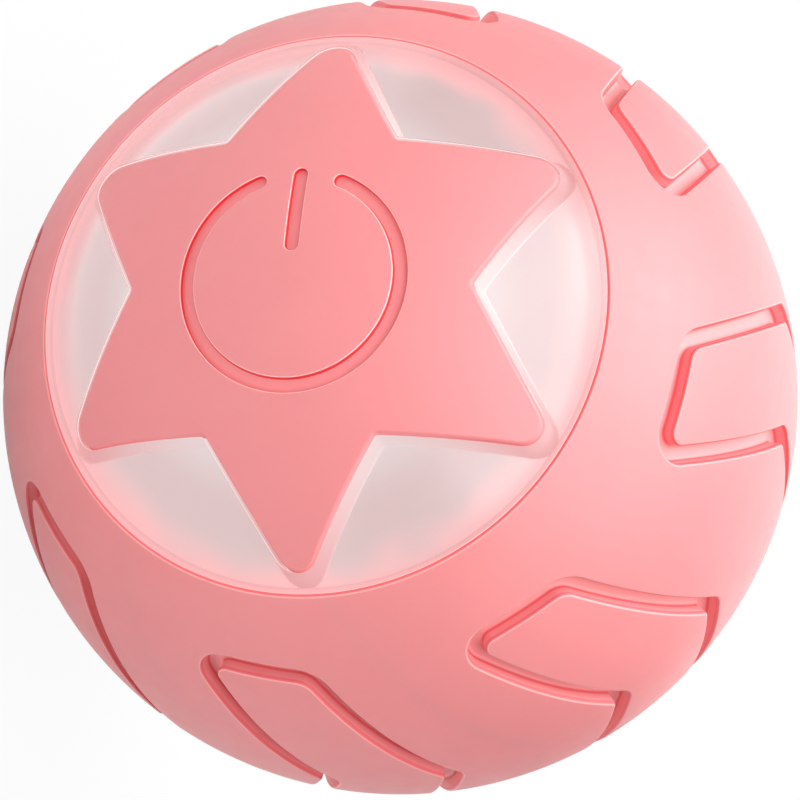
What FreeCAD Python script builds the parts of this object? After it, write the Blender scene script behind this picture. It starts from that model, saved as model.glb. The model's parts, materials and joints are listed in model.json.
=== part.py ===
import FreeCAD, Part
import math
import os

# Self-rolling cat ball, 43 mm. Millimetres.
# Origin at the ball's centre. The roll axis is Y, and the star button faces -Y.
# Z is up: the ball stands on its tread band at Z = -21.5, with its roll axis level.
# The power symbol's bar points to -X.

V = FreeCAD.Vector

# Layers of the ball
BALL_R = 21.5
COVER_T = 1.6
SHELL_T = 1.5
HARD_R = BALL_R - COVER_T
SHELL_IN_R = HARD_R - SHELL_T

# Window rims, as angles from the pole
RIM_ANGLE = 45.0
RIM_FILLET = 0.22
LENS_GAP = 0.05
FLANGE_ANGLE = 48.0
FLANGE_T = 0.5
FLANGE_GAP = 0.06

# Treads: eight chevrons, each a closed groove round a raised island.
# Spans, leans and longitudes are in degrees on the ball.
TREADS = 8
TREAD_FIRST = 34.4
GROOVE_W = 1.15
GROOVE_DEPTH = 0.9
TREAD_HALF_SPAN = 30.75
TREAD_LEAN_A = 0.444
TREAD_LEAN_B = 0.5
TREAD_FRONT_Q = -1.45
TREAD_BACK_Q = 16.75
TREAD_HEEL_R = 1.6
TREAD_TOE_R = 1.15
TREAD_MID_R = 1.2

# Star button
STAR_T = 0.8
STAR_APEX_R = 15.13
STAR_INNER_R = 9.02
STAR_TIP_FILLET = 1.13
STAR_INNER_FILLET = 0.4
STAR_GAP = 0.12
STAR_POINTS = 6
STEM_R = 1.0
STEM_BORE_GAP = 0.05
STEM_COLLAR_T = 0.3
STEM_COLLAR_L = 0.5
BUTTON_TRAVEL = 0.45

# Power symbol, engraved in the star
SYMBOL_DEPTH = 0.3
SYMBOL_RING_R = 5.65
SYMBOL_LINE_W = 0.8
SYMBOL_GAP_HALF = 22.5
SYMBOL_BAR_IN = 1.65
SYMBOL_BAR_OUT = 5.6

# Return spring in its pocket, and the stem's retaining clip
SPRING_WIRE_R = 0.2
SPRING_STEM_GAP = 0.55
SPRING_MEAN_R = STEM_R + SPRING_STEM_GAP + SPRING_WIRE_R
SPRING_TURNS = 3
SPRING_GAP = 0.01
SPRING_POCKET_GAP = 0.4
SPRING_POCKET_R = SPRING_MEAN_R + SPRING_WIRE_R + SPRING_POCKET_GAP
SPRING_POCKET_SINK = 4.3
SPRING_POCKET_Y = SPRING_POCKET_SINK - BALL_R
CLIP_T = 0.35
CLIP_R = STEM_R + 0.9
CLIP_SLOT = 1.2
CLIP_GROOVE_DEPTH = 0.3
CLIP_GROOVE_R = STEM_R - CLIP_GROOVE_DEPTH
CLIP_GAP = 0.02

# Lap and bayonet joint of the two shell halves, at the ball's middle
RIB_HALF = 3.2
RIB_T = 0.6
RIB_R = SHELL_IN_R - RIB_T
LAP_WALL_T = 0.85
LAP_R = HARD_R - LAP_WALL_T
LAP_L = 2.0
LAP_GAP = 0.1
LUGS = 3
LUG_H = 0.3
LUG_R = LAP_R + LUG_H
LUG_W = 4.0
LUG_T = 0.3
LUG_ENTRY_TURN = 30.0
SEAL_W = 0.8
SEAL_DEPTH = 0.5
SEAL_Y = -1.05
SEAL_GAP = 0.02

# Overlap of two shapes that merge into one solid
MERGE = 0.2

# Room between the hanging carriage and the shell
CARRIAGE_GAP = 0.3
CARRIAGE_R = RIB_R - CARRIAGE_GAP
WEIGHT_GAP = 0.6
WEIGHT_R = RIB_R - WEIGHT_GAP

# Motor, a flat-sided can
MOTOR_Z = -2.5
MOTOR_D = 12.0
MOTOR_H = 10.0
MOTOR_L = 11.9
MOTOR_BOSS_R = 1.6
MOTOR_BOSS_L = 0.8
MOTOR_BOSS_GAP = 0.15
MOTOR_SHAFT_R = 0.5
MOTOR_SHAFT_PROUD = 0.1
MOTOR_SHAFT_HIDDEN = 1.9
MOTOR_SCREW_X = 4.5
MOTOR_SCREW_DEPTH = 1.4
TERMINAL_X = 3.0
TERMINAL_W = 1.2
TERMINAL_T = 0.3
TERMINAL_L = 0.7

# Battery, a flat pouch cell
BATTERY_W = 20.0
BATTERY_L = 12.0
BATTERY_T = 5.0
BATTERY_FILLET = 1.0
BATTERY_WALL_GAP = 0.5
TAB_R = 0.35
TAB_X = 2.0
TAPE_T = 0.5
TAPE_W = 9.0
TAPE_L = 9.0

# Chassis: stations along the roll axis, from the motor wall to the front wall
WALL_T = 1.0
MID_WALL_Y = 5.5
MID_WALL_R = 15.8
BATTERY_Y0 = MID_WALL_Y - BATTERY_WALL_GAP - BATTERY_L
BOARD_T = 0.8
BOARD_MOTOR_GAP = 0.3
BOARD_Y0 = MID_WALL_Y - MOTOR_L - TERMINAL_L - BOARD_MOTOR_GAP - BOARD_T
POST_L = 3.2
FRONT_WALL_T = 1.6
FRONT_WALL_Y1 = BOARD_Y0 - POST_L
FRONT_WALL_Y0 = FRONT_WALL_Y1 - FRONT_WALL_T
FRONT_WALL_R = 13.2
BEAM_T = 1.4
BEAM_BATTERY_GAP = 1.0
BEAM_X0 = BATTERY_W / 2.0 + BEAM_BATTERY_GAP
BEAM_X1 = BEAM_X0 + BEAM_T
BEAM_Z = 6.0
FLOOR_TOP = MOTOR_Z - MOTOR_H / 2.0
FLOOR_T = 2.0

# Charging socket and the hollow neck round it
USB_W = 8.94
USB_H = 3.26
USB_SHEET = 0.3
USB_DEPTH = 6.5
USB_TONGUE_W = 6.7
USB_TONGUE_T = 0.7
USB_TONGUE_SINK = 0.7
USB_HOLE_GAP = 0.08
USB_NECK_GAP = 0.53
ROUND_END = 0.01
NECK_T = 1.6
NECK_BORE_R = USB_W / 2.0 + USB_NECK_GAP
NECK_R = NECK_BORE_R + NECK_T
USB_BOARD_LIP = 0.5
USB_BOARD_R = NECK_BORE_R + USB_BOARD_LIP

# Running fits of the carriage in the shell
RUN_GAP = 0.05
THRUST_GAP = 0.1
BUSH_FLANGE_T = 0.5
BOSS_R = 3.0
BOSS_ROOT_T = 1.2
BOSS_ROOT_R = BOSS_R + BOSS_ROOT_T
BUSH_T = 0.95
FRONT_BUSH_R = BOSS_R + RUN_GAP + BUSH_T
FRONT_FLANGE_R = FRONT_BUSH_R + 0.8
END_PLAY = 0.15
BOSS_SHOULDER_Y = FRONT_WALL_Y0 - BUSH_FLANGE_T - END_PLAY
BOSS_PROUD = 0.2
BOSS_END_Y = FRONT_WALL_Y1 + BOSS_PROUD
STEM_PROUD = 0.6
STEM_TIP_Y = BOSS_END_Y + STEM_PROUD
REAR_BUSH_T = 0.65
REAR_BUSH_R = NECK_R + RUN_GAP + REAR_BUSH_T
REAR_BUSH_PROUD = 0.1
REAR_FLANGE_R = REAR_BUSH_R + 0.9
SLEEVE_T = 1.0
SLEEVE_L = 5.0
SLEEVE_Y1 = SHELL_IN_R
SLEEVE_Y0 = SLEEVE_Y1 - SLEEVE_L
SHOULDER_T = 0.8

# Gears, in the plane of X and Z, with their stations along the roll axis
MODULE = 0.3
PRESSURE_ANGLE = 20.0
ADDENDUM = 0.8
DEDENDUM = 1.1
BACKLASH = 0.05
MOTOR_TEETH = 10
WHEEL_TEETH = 36
IDLER_TEETH = 12
RING_TEETH = 72
FLANK_POINTS = 5
GEAR_GAP = 0.3
WHEEL_T = 1.0
WHEEL_Y0 = MID_WALL_Y + WALL_T + GEAR_GAP
MOTOR_PINION_PROUD = 0.1
MOTOR_PINION_Y0 = WHEEL_Y0 - MOTOR_PINION_PROUD
MOTOR_PINION_Y1 = WHEEL_Y0 + WHEEL_T + MOTOR_PINION_PROUD
RING_T = 1.4
RING_Y0 = WHEEL_Y0 + WHEEL_T + GEAR_GAP
RING_Y1 = RING_Y0 + RING_T
RING_OUTER_R = 15.3
RING_SCREW_R = 14.1
RING_SCREWS = 3
RING_TIP_R = MODULE * (RING_TEETH / 2.0 - ADDENDUM)
IDLER_PINION_PROUD = 0.2
IDLER_PINION_Y1 = RING_Y1 + IDLER_PINION_PROUD
LEDGE_R = 12.9
LEDGE_T = 1.6
AXLE_R = 0.5
AXLE_GAP = 0.03
AXLE_SEAT = 0.2

# Gear cover, on three pillars inside the ring gear
COVER_WALL_Y = IDLER_PINION_Y1 + GEAR_GAP
COVER_WALL_T = 1.2
COVER_WALL_R = 10.2
PILLAR_R = 1.3
PILLAR_GAP = 0.7
PILLAR_TURNS = [200.6, 121.7, 37.4]
PILLAR_REACH = RING_TIP_R - PILLAR_GAP - PILLAR_R
PILLARS = []
for turn in PILLAR_TURNS:
    pillar_angle = math.radians(turn)
    PILLARS.append((PILLAR_REACH * math.cos(pillar_angle), PILLAR_REACH * math.sin(pillar_angle)))

# Counterweight
WEIGHT_X = 10.5
WEIGHT_Y0 = -8.0
WEIGHT_WALL_GAP = 0.3
WEIGHT_Y1 = MID_WALL_Y - WEIGHT_WALL_GAP
WEIGHT_SCREW_Y = [-5.0, 2.2]
WEIGHT_SCREW_HEAD_Z = -12.5

# Boards
BOARD_BEAM_GAP = 0.2
BOARD_X = BEAM_X0 - BOARD_BEAM_GAP
BOARD_R = 13.2
BOARD_POSTS = [(-9.0, -4.0), (9.0, -4.0), (0.0, 10.4)]
POST_R = 1.3
BOARD_SCREW_DEPTH = 2.0
SWITCH_W = 4.5
SWITCH_T = 1.6
SWITCH_BASE_T = 0.4
PLUNGER_R = 0.9
PLUNGER_FREE = 0.05
PLUNGER_GAP = 0.06
LED_BOARD_R = 10.6
LED_FLANGE_GAP = 0.3
LED_BOARD_HOLE_R = FRONT_FLANGE_R + LED_FLANGE_GAP
LED_BOARD_GAP = 0.4
LED_RING_R = 8.0
LEDS = 6
LED_W = 1.6
LED_T = 0.7
LED_SCREW_R = 8.6
LED_SCREWS = 3
LED_SCREW_TURN = 30.0
LED_POST_R = 1.04
LED_SCREW_DEPTH = 1.0
PINS = 3
PIN_R = 0.25
PIN_PITCH = 1.27
PIN_Z = 7.2
PIN_SLIT_GAP = 0.45
PIN_PROUD = 0.3

# What is soldered to the main board's front: x, z, width, height, thickness
CONTROLLER = (-5.6, 0.0, 4.0, 4.0, 0.9)
DRIVER_CHIP = (5.2, 1.2, 3.0, 1.6, 1.0)
CHARGER_COIL = (5.2, -2.6, 2.9, 2.8, 1.3)
SENSOR = (0.4, -5.2, 2.0, 1.2, 0.9)
CAPACITORS = [(-4.8, 4.6, 1.6, 0.8, 0.6), (4.6, 4.4, 1.6, 0.8, 0.6), (-5.2, -4.6, 1.6, 0.8, 0.6)]
BOARD_PARTS = [DRIVER_CHIP, CHARGER_COIL, SENSOR] + CAPACITORS

# Rear hub, which covers the neck, and the charging port's plug
HUB_LIP = 1.1
HUB_R = REAR_BUSH_R + HUB_LIP
HUB_GAP = 0.25
HUB_H = 2.6
HUB_Y0 = BALL_R - HUB_H
HUB_FLOOR_T = 0.8
HUB_FLOOR_Y = HUB_Y0 + HUB_FLOOR_T
USB_SINK = 0.1
USB_MOUTH_Y = HUB_FLOOR_Y - USB_SINK
RECESS_W = 12.6
RECESS_H = 6.8
RECESS_CORNER = 1.5
HUB_SCREW_X = (NECK_R + NECK_BORE_R) / 2.0
HUB_SCREW_DEPTH = 2.8
PLUG_GAP = 0.1
PLUG_SINK = 0.1
PLUG_TONGUE_L = 4.0
PLUG_TONGUE_GAP = 0.12
NOTCH_R = 1.6
NOTCH_DEPTH = 0.9

# Screws: shank radius, head radius, head height
SCREW_FINE = (0.4, 0.65, 0.4)
SCREW_SMALL = (0.5, 0.85, 0.55)
SCREW_MID = (0.7, 1.25, 0.8)
SCREW_LARGE = (1.0, 1.8, 1.3)
SCREW_GAP = 0.1
DRIVE = 0.45

# Wires from the charging port to the main board
WIRE_R = 0.3
WIRE_PITCH = 0.9
WIRE_BEND = 0.7
WIRE_BEND_SHARE = 0.45
WIRE_HOLE_GAP = 0.3
WIRE_X = -8.5
WIRE_Z = 1.65
WIRE_PORT_X = -3.4
WIRE_PORT_BEND = 1.0
WIRE_SIDE_BEND = 1.8

# Longer than anything it is used to cut
FAR = 30.0


def cyl(radius, y0, y1, x=0.0, z=0.0):
    return Part.makeCylinder(radius, y1 - y0, V(x, y0, z), V(0, 1, 0))


def tube(outer, inner, y0, y1, x=0.0, z=0.0):
    return cyl(outer, y0, y1, x, z).cut(cyl(inner, y0 - 1, y1 + 1, x, z))


def box(x0, x1, y0, y1, z0, z1):
    return Part.makeBox(x1 - x0, y1 - y0, z1 - z0, V(x0, y0, z0))


def ball(radius):
    return Part.makeSphere(radius)


def skin(outer, inner):
    return ball(outer).cut(ball(inner))


def pole_cone(angle, side):
    # Everything within this angle of one pole; side is -1 at the front and 1 at the rear
    spread = FAR * math.tan(math.radians(angle))
    return Part.makeCone(0.0, spread, FAR, V(0, 0, 0), V(0, side, 0))


def slot_face(width, height, corner, y, x=0.0, z=0.0):
    # Rounded rectangle in the plane of X and Z
    half_w = width / 2.0 - corner
    half_h = height / 2.0 - corner
    k = corner * math.sqrt(0.5)
    edges = []
    for i, (sx, sz) in enumerate([(1, 1), (-1, 1), (-1, -1), (1, -1)]):
        cx = x + sx * half_w
        cz = z + sz * half_h
        across = V(cx + sx * corner, y, cz)
        along = V(cx, y, cz + sz * corner)
        middle = V(cx + sx * k, y, cz + sz * k)
        start, end = (across, along) if i % 2 == 0 else (along, across)
        if edges:
            last = edges[-1].Vertexes[-1].Point
            if last.distanceToPoint(start) > 1e-6:
                edges.append(Part.makeLine(last, start))
        edges.append(Part.Arc(start, middle, end).toShape())
    first = edges[0].Vertexes[0].Point
    last = edges[-1].Vertexes[-1].Point
    if last.distanceToPoint(first) > 1e-6:
        edges.append(Part.makeLine(last, first))
    return Part.Face(Part.Wire(edges))


def slot_prism(width, height, corner, y0, y1):
    return slot_face(width, height, corner, y0).extrude(V(0, y1 - y0, 0))


def around(count, radius, turn=0.0):
    # Points on a circle about the roll axis, as (x, z)
    points = []
    for i in range(count):
        angle = math.radians(turn + 360.0 * i / count)
        points.append((radius * math.cos(angle), radius * math.sin(angle)))
    return points


def screw(kind, y_seat, length, x, z, side):
    # A screw along Y whose head rests at y_seat and stands out towards side
    shank_r, head_r, head_h = kind
    if side < 0:
        shank = cyl(shank_r, y_seat, y_seat + length, x, z)
        head = cyl(head_r, y_seat - head_h, y_seat, x, z)
        drive = cyl(head_r * DRIVE, y_seat - head_h, y_seat - head_h * 0.5, x, z)
    else:
        shank = cyl(shank_r, y_seat - length, y_seat, x, z)
        head = cyl(head_r, y_seat, y_seat + head_h, x, z)
        drive = cyl(head_r * DRIVE, y_seat + head_h * 0.5, y_seat + head_h, x, z)
    return shank.fuse(head).cut(drive)


def save(name, shapes):
    shape = shapes if isinstance(shapes, Part.Shape) else Part.makeCompound(shapes)
    shape = shape.removeSplitter()
    solids = shape.Solids
    for solid in solids:
        if not solid.isValid():
            print("not valid:", name)
    shape = solids[0] if len(solids) == 1 else Part.makeCompound(solids)
    shape.exportStep("parts/" + name + ".step")
    print(name, len(solids), round(sum(s.Volume for s in solids), 1))


# The chevron grooves run on the ball's surface as great circle arcs with rounded corners

def on_ball(from_pole, longitude):
    # Unit vector; longitude is clockwise from the symbol's bar, seen from the front
    p = math.radians(from_pole)
    q = math.radians(longitude)
    return V(-math.sin(p) * math.cos(q), -math.cos(p), math.sin(p) * math.sin(q))


def chevron_corners(longitude):
    # Corner directions and corner radii of one groove's centreline, in order round the loop
    span = TREAD_HALF_SPAN
    front = longitude + TREAD_FRONT_Q
    back = longitude + TREAD_BACK_Q
    heel = front + TREAD_LEAN_A * span
    toe = back + TREAD_LEAN_B * span
    return [
        (on_ball(90.0, front), TREAD_MID_R),
        (on_ball(90.0 - span, heel), TREAD_HEEL_R),
        (on_ball(90.0 - span, toe), TREAD_TOE_R),
        (on_ball(90.0, back), TREAD_MID_R),
        (on_ball(90.0 + span, toe), TREAD_TOE_R),
        (on_ball(90.0 + span, heel), TREAD_HEEL_R),
    ]


def corner_arc(before, corner, after, radius):
    # Small circle on the unit ball that touches both great circles at a corner
    n1 = before.cross(corner).normalize()
    n2 = corner.cross(after).normalize()
    turn = 1.0 if n1.cross(n2).dot(corner) > 0 else -1.0
    s = turn * math.sin(radius / BALL_R)
    dot = n1.dot(n2)
    a = s / (1.0 + dot)
    flat = (n1 + n2) * a
    up = n1.cross(n2).normalize() * turn
    centre = flat + up * math.sqrt(max(0.0, 1.0 - flat.dot(flat)))
    touch1 = (centre - n1 * centre.dot(n1)).normalize()
    touch2 = (centre - n2 * centre.dot(n2)).normalize()
    return centre.normalize(), touch1, touch2, turn


def groove_section(point, forward, r_in, r_out, width):
    side = point.cross(forward).normalize() * (width / 2.0)
    low = point * r_in
    high = point * r_out
    return [low - side, low + side, high + side, high - side]


def swept_faces(section, axis, angle):
    faces = []
    for i in range(4):
        edge = Part.makeLine(section[i], section[(i + 1) % 4])
        faces.extend(edge.revolve(V(0, 0, 0), axis, angle).Faces)
    return faces


def groove_cutter(corners, r_in, r_out, width):
    count = len(corners)
    arcs = []
    for i in range(count):
        before = corners[i - 1][0]
        after = corners[(i + 1) % count][0]
        arcs.append(corner_arc(before, corners[i][0], after, corners[i][1]))
    faces = []
    for i in range(count):
        centre, start, end, turn = arcs[i]
        axis = centre * turn
        forward = axis.cross(start)
        a = start - centre * start.dot(centre)
        b = end - centre * end.dot(centre)
        angle = math.degrees(a.getAngle(b))
        faces += swept_faces(groove_section(start, forward, r_in, r_out, width), axis, angle)
        following = arcs[(i + 1) % count][1]
        axis = end.cross(following).normalize()
        angle = math.degrees(end.getAngle(following))
        forward = axis.cross(end)
        faces += swept_faces(groove_section(end, forward, r_in, r_out, width), axis, angle)
    sewn = Part.Compound(faces)
    sewn.sewShape()
    solid = Part.Solid(sewn.Shells[0])
    if solid.Volume < 0:
        solid.reverse()
    return solid


# The star's outline, seen from the front: u is the symbol's right, v its bar's direction

def plan(u, v, y):
    return V(-v, y, u)


def star_prism(grow, y0, y1):
    # Straight sides between six tips and six inner corners, all rounded
    step = math.pi / STAR_POINTS
    half_tip = math.atan2(STAR_INNER_R * math.sin(step), STAR_APEX_R - STAR_INNER_R * math.cos(step))
    apex = STAR_APEX_R + grow / math.sin(half_tip)
    opening = step + half_tip
    inner = STAR_INNER_R + grow / math.sin(opening)
    tip_r = STAR_TIP_FILLET + grow
    inner_r = STAR_INNER_FILLET - grow
    tip_c = apex - tip_r / math.sin(half_tip)
    inner_c = inner + inner_r / math.sin(opening)
    edges = []
    first = None
    last = None

    def at(turn, side, forward):
        u = forward * math.sin(turn) + side * math.cos(turn)
        v = forward * math.cos(turn) - side * math.sin(turn)
        return plan(u, v, y0)

    for i in range(STAR_POINTS):
        turn = 2.0 * step * i
        bend = math.pi / 2.0 - half_tip
        start = at(turn, -tip_r * math.sin(bend), tip_c + tip_r * math.cos(bend))
        middle = at(turn, 0.0, tip_c + tip_r)
        end = at(turn, tip_r * math.sin(bend), tip_c + tip_r * math.cos(bend))
        if last is not None:
            edges.append(Part.makeLine(last, start))
        else:
            first = start
        edges.append(Part.Arc(start, middle, end).toShape())
        turn += step
        bend = math.pi / 2.0 - opening
        start = at(turn, -inner_r * math.sin(bend), inner_c - inner_r * math.cos(bend))
        middle = at(turn, 0.0, inner_c - inner_r)
        last = at(turn, inner_r * math.sin(bend), inner_c - inner_r * math.cos(bend))
        edges.append(Part.makeLine(end, start))
        edges.append(Part.Arc(start, middle, last).toShape())
    edges.append(Part.makeLine(last, first))
    return Part.Face(Part.Wire(edges)).extrude(V(0, y1 - y0, 0))


def symbol_cutter():
    half = SYMBOL_LINE_W / 2.0
    y0 = -BALL_R - 1.0
    y1 = -HARD_R
    ring = tube(SYMBOL_RING_R + half, SYMBOL_RING_R - half, y0, y1)
    reach = BALL_R
    side = reach * math.tan(math.radians(SYMBOL_GAP_HALF))
    corners = [plan(0, 0, y0), plan(-side, reach, y0), plan(side, reach, y0), plan(0, 0, y0)]
    gap = Part.Face(Part.makePolygon(corners)).extrude(V(0, y1 - y0, 0))
    shape = ring.cut(gap)
    for sign in (-1, 1):
        angle = math.radians(sign * SYMBOL_GAP_HALF)
        end = plan(SYMBOL_RING_R * math.sin(angle), SYMBOL_RING_R * math.cos(angle), 0)
        shape = shape.fuse(cyl(half, y0, y1, end.x, end.z))
    bar = box(-SYMBOL_BAR_OUT, -SYMBOL_BAR_IN, y0, y1, -half, half)
    for v in (SYMBOL_BAR_IN, SYMBOL_BAR_OUT):
        bar = bar.fuse(cyl(half, y0, y1, -v, 0.0))
    return shape.fuse(bar).cut(ball(BALL_R - SYMBOL_DEPTH))


# Involute gears

def gear_outline(teeth, phase, tip_r, root_r, slack, y, x, z):
    # Tooth centres start at phase; slack thins each tooth and is negative for a ring's spaces
    pitch_r = MODULE * teeth / 2.0
    alpha = math.radians(PRESSURE_ANGLE)
    base_r = pitch_r * math.cos(alpha)
    half = math.pi / (2.0 * teeth) - slack / (2.0 * pitch_r)
    low = max(base_r, root_r)
    radii = [low + (tip_r - low) * i / (FLANK_POINTS - 1) for i in range(FLANK_POINTS)]

    def spread(r):
        bend = math.acos(min(1.0, base_r / r))
        return half + (math.tan(alpha) - alpha) - (math.tan(bend) - bend)

    outline = []
    for i in range(teeth):
        centre = phase + 2.0 * math.pi * i / teeth
        if root_r < base_r:
            outline.append((root_r, centre - spread(low)))
        outline += [(r, centre - spread(r)) for r in radii]
        outline += [(r, centre + spread(r)) for r in reversed(radii)]
        if root_r < base_r:
            outline.append((root_r, centre + spread(low)))
    points = [V(x + r * math.cos(a), y, z + r * math.sin(a)) for r, a in outline]
    return Part.Face(Part.makePolygon(points + points[:1]))


def spur_gear(teeth, phase, y0, y1, x, z):
    tip_r = MODULE * (teeth / 2.0 + ADDENDUM)
    root_r = MODULE * (teeth / 2.0 - DEDENDUM)
    face = gear_outline(teeth, phase, tip_r, root_r, BACKLASH, y0, x, z)
    return face.extrude(V(0, y1 - y0, 0))


def ring_spaces(teeth, phase, y0, y1):
    deep_r = MODULE * (teeth / 2.0 + DEDENDUM)
    near_r = MODULE * (teeth / 2.0 - ADDENDUM)
    face = gear_outline(teeth, phase, deep_r, near_r, -BACKLASH, y0, 0, 0)
    return face.extrude(V(0, y1 - y0, 0))


# Where the gears lie
IDLER_REACH = MODULE * (RING_TEETH - IDLER_TEETH) / 2.0
MESH_REACH = MODULE * (MOTOR_TEETH + WHEEL_TEETH) / 2.0
MOTOR_OFF = abs(MOTOR_Z)
COS_IDLER = (IDLER_REACH ** 2 + MOTOR_OFF ** 2 - MESH_REACH ** 2) / (2.0 * IDLER_REACH * MOTOR_OFF)
IDLER_ANGLE = -math.pi / 2.0 + math.acos(COS_IDLER)
IDLER_X = IDLER_REACH * math.cos(IDLER_ANGLE)
IDLER_Z = IDLER_REACH * math.sin(IDLER_ANGLE)
MESH_ANGLE = math.atan2(MOTOR_Z - IDLER_Z, -IDLER_X)


def make_shell_parts():
    front_half = box(-FAR, FAR, -FAR, 0, -FAR, FAR)
    rear_half = box(-FAR, FAR, 0, FAR, -FAR, FAR)

    # Silicone cover
    cover = skin(BALL_R, HARD_R)
    for side in (-1, 1):
        cover = cover.cut(pole_cone(RIM_ANGLE, side))
    rim_y = BALL_R * math.cos(math.radians(RIM_ANGLE))
    rims = []
    for edge in cover.Edges:
        bounds = edge.BoundBox
        if abs(abs(bounds.YMin) - rim_y) < 0.01 and bounds.YLength < 0.01:
            rims.append(edge)
    cover = cover.makeFillet(RIM_FILLET, rims)
    undercut_r = HARD_R + FLANGE_T + FLANGE_GAP
    undercut_angle = FLANGE_ANGLE + math.degrees(FLANGE_GAP / HARD_R)
    for side in (-1, 1):
        cover = cover.cut(ball(undercut_r).common(pole_cone(undercut_angle, side)))
    grooves = []
    for i in range(TREADS):
        corners = chevron_corners(TREAD_FIRST + 360.0 * i / TREADS)
        grooves.append(groove_cutter(corners, BALL_R - GROOVE_DEPTH, BALL_R + 1.0, GROOVE_W))
    cover = cover.cut(Part.makeCompound(grooves))
    save("tread_cover", cover)

    # Clear window rings, each with a flange under the cover's rim
    lens_angle = RIM_ANGLE - math.degrees(LENS_GAP / BALL_R)
    lens_skin = skin(BALL_R, HARD_R)
    flange = skin(HARD_R + FLANGE_T, HARD_R)
    lenses = []
    for side in (-1, 1):
        lens = lens_skin.common(pole_cone(lens_angle, side))
        lenses.append(lens.fuse(flange.common(pole_cone(FLANGE_ANGLE, side))))
    save("front_lens", lenses[0].cut(star_prism(STAR_GAP, -FAR, 0.0)))
    save("rear_lens", lenses[1].cut(cyl(HUB_R + HUB_GAP, 0.0, FAR)))

    # Front shell half with the boss on the roll axis
    hard = skin(HARD_R, SHELL_IN_R)
    rib = ball(SHELL_IN_R + SHELL_T / 2.0).common(cyl(FAR, -RIB_HALF, RIB_HALF)).cut(cyl(RIB_R, -FAR, FAR))
    front = hard.fuse(rib).common(front_half)
    boss = cyl(BOSS_ROOT_R, -HARD_R, BOSS_SHOULDER_Y).fuse(cyl(BOSS_R, -HARD_R, BOSS_END_Y))
    front = front.fuse(boss.common(ball(HARD_R)))
    front = front.cut(cyl(LAP_R, -LAP_L, 1.0))
    front = front.cut(cyl(STEM_R + STEM_BORE_GAP, -FAR, 0))
    front = front.cut(cyl(SPRING_POCKET_R, -FAR, SPRING_POCKET_Y))
    lug_way_r = LUG_R + LAP_GAP
    entry_half = LUG_W / 2.0 + LAP_GAP
    front = front.cut(cyl(lug_way_r, -LAP_L, -LAP_L + LUG_T + 2.0 * LAP_GAP))
    for i in range(LUGS):
        entry = box(0, lug_way_r, -LAP_L, 1.0, -entry_half, entry_half)
        entry = entry.common(cyl(lug_way_r, -LAP_L, 1.0))
        entry.rotate(V(0, 0, 0), V(0, 1, 0), LUG_ENTRY_TURN + 360.0 * i / LUGS)
        front = front.cut(entry)
    save("front_shell", front)

    # Rear shell half with spigot, bayonet lugs, gear ledge and bush sleeve
    spigot_r = LAP_R - LAP_GAP
    spigot_y = -LAP_L + LAP_GAP
    rear = hard.fuse(rib).common(rear_half)
    rear = rear.fuse(tube(spigot_r, RIB_R, spigot_y, 0.5))
    for i in range(LUGS):
        lug = box(RIB_R + MERGE, LUG_R, spigot_y, spigot_y + LUG_T, -LUG_W / 2.0, LUG_W / 2.0)
        lug = lug.common(cyl(LUG_R, -FAR, FAR))
        lug.rotate(V(0, 0, 0), V(0, 1, 0), 360.0 * i / LUGS)
        rear = rear.fuse(lug)
    seal_out = tube(FAR, spigot_r - SEAL_DEPTH, SEAL_Y - SEAL_W / 2.0, SEAL_Y + SEAL_W / 2.0)
    rear = rear.cut(seal_out)
    ledge = ball(SHELL_IN_R + SHELL_T / 2.0).common(tube(FAR, LEDGE_R, RING_Y1, RING_Y1 + LEDGE_T))
    rear = rear.fuse(ledge)
    rear = rear.fuse(cyl(REAR_BUSH_R + SLEEVE_T, SLEEVE_Y0, SLEEVE_Y1))
    rear = rear.cut(cyl(REAR_BUSH_R, SLEEVE_Y0 - 1, FAR))
    for x, z in around(RING_SCREWS, RING_SCREW_R, 90.0):
        rear = rear.cut(cyl(SCREW_SMALL[0], RING_Y1 - MERGE, RING_Y1 + LEDGE_T, x, z))
    save("rear_shell", rear)

    seal = tube(LAP_R - SEAL_GAP, spigot_r - SEAL_DEPTH + SEAL_GAP,
                SEAL_Y - SEAL_W / 2.0 + SEAL_GAP, SEAL_Y + SEAL_W / 2.0 - SEAL_GAP)
    save("shell_seal", seal.makeFillet(SEAL_W / 4.0, seal.Edges))

    # Internal gear on the rear shell's ledge
    ring = cyl(RING_OUTER_R, RING_Y0, RING_Y1)
    ring = ring.cut(ring_spaces(RING_TEETH, IDLER_ANGLE, RING_Y0 - 1.0, RING_Y1 + 1.0))
    screws = []
    seat = RING_Y0 + SCREW_SMALL[2] + SCREW_GAP
    for x, z in around(RING_SCREWS, RING_SCREW_R, 90.0):
        ring = ring.cut(cyl(SCREW_SMALL[0], RING_Y0 - 1, RING_Y1 + 1, x, z))
        ring = ring.cut(cyl(SCREW_SMALL[1] + SCREW_GAP / 2.0, RING_Y0 - 1, seat, x, z))
        screws.append(screw(SCREW_SMALL, seat, RING_Y1 + LEDGE_T - MERGE - seat, x, z, -1))
    save("ring_gear", ring)
    save("ring_gear_screws", screws)

    # Bush in the rear shell, for the carriage's neck
    flange_y = SLEEVE_Y0 - BUSH_FLANGE_T
    bush = tube(REAR_BUSH_R, NECK_R + RUN_GAP, flange_y, SLEEVE_Y1 + REAR_BUSH_PROUD)
    bush = bush.fuse(tube(REAR_FLANGE_R, NECK_R + RUN_GAP, flange_y, SLEEVE_Y0))
    save("rear_bush", bush)


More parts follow.
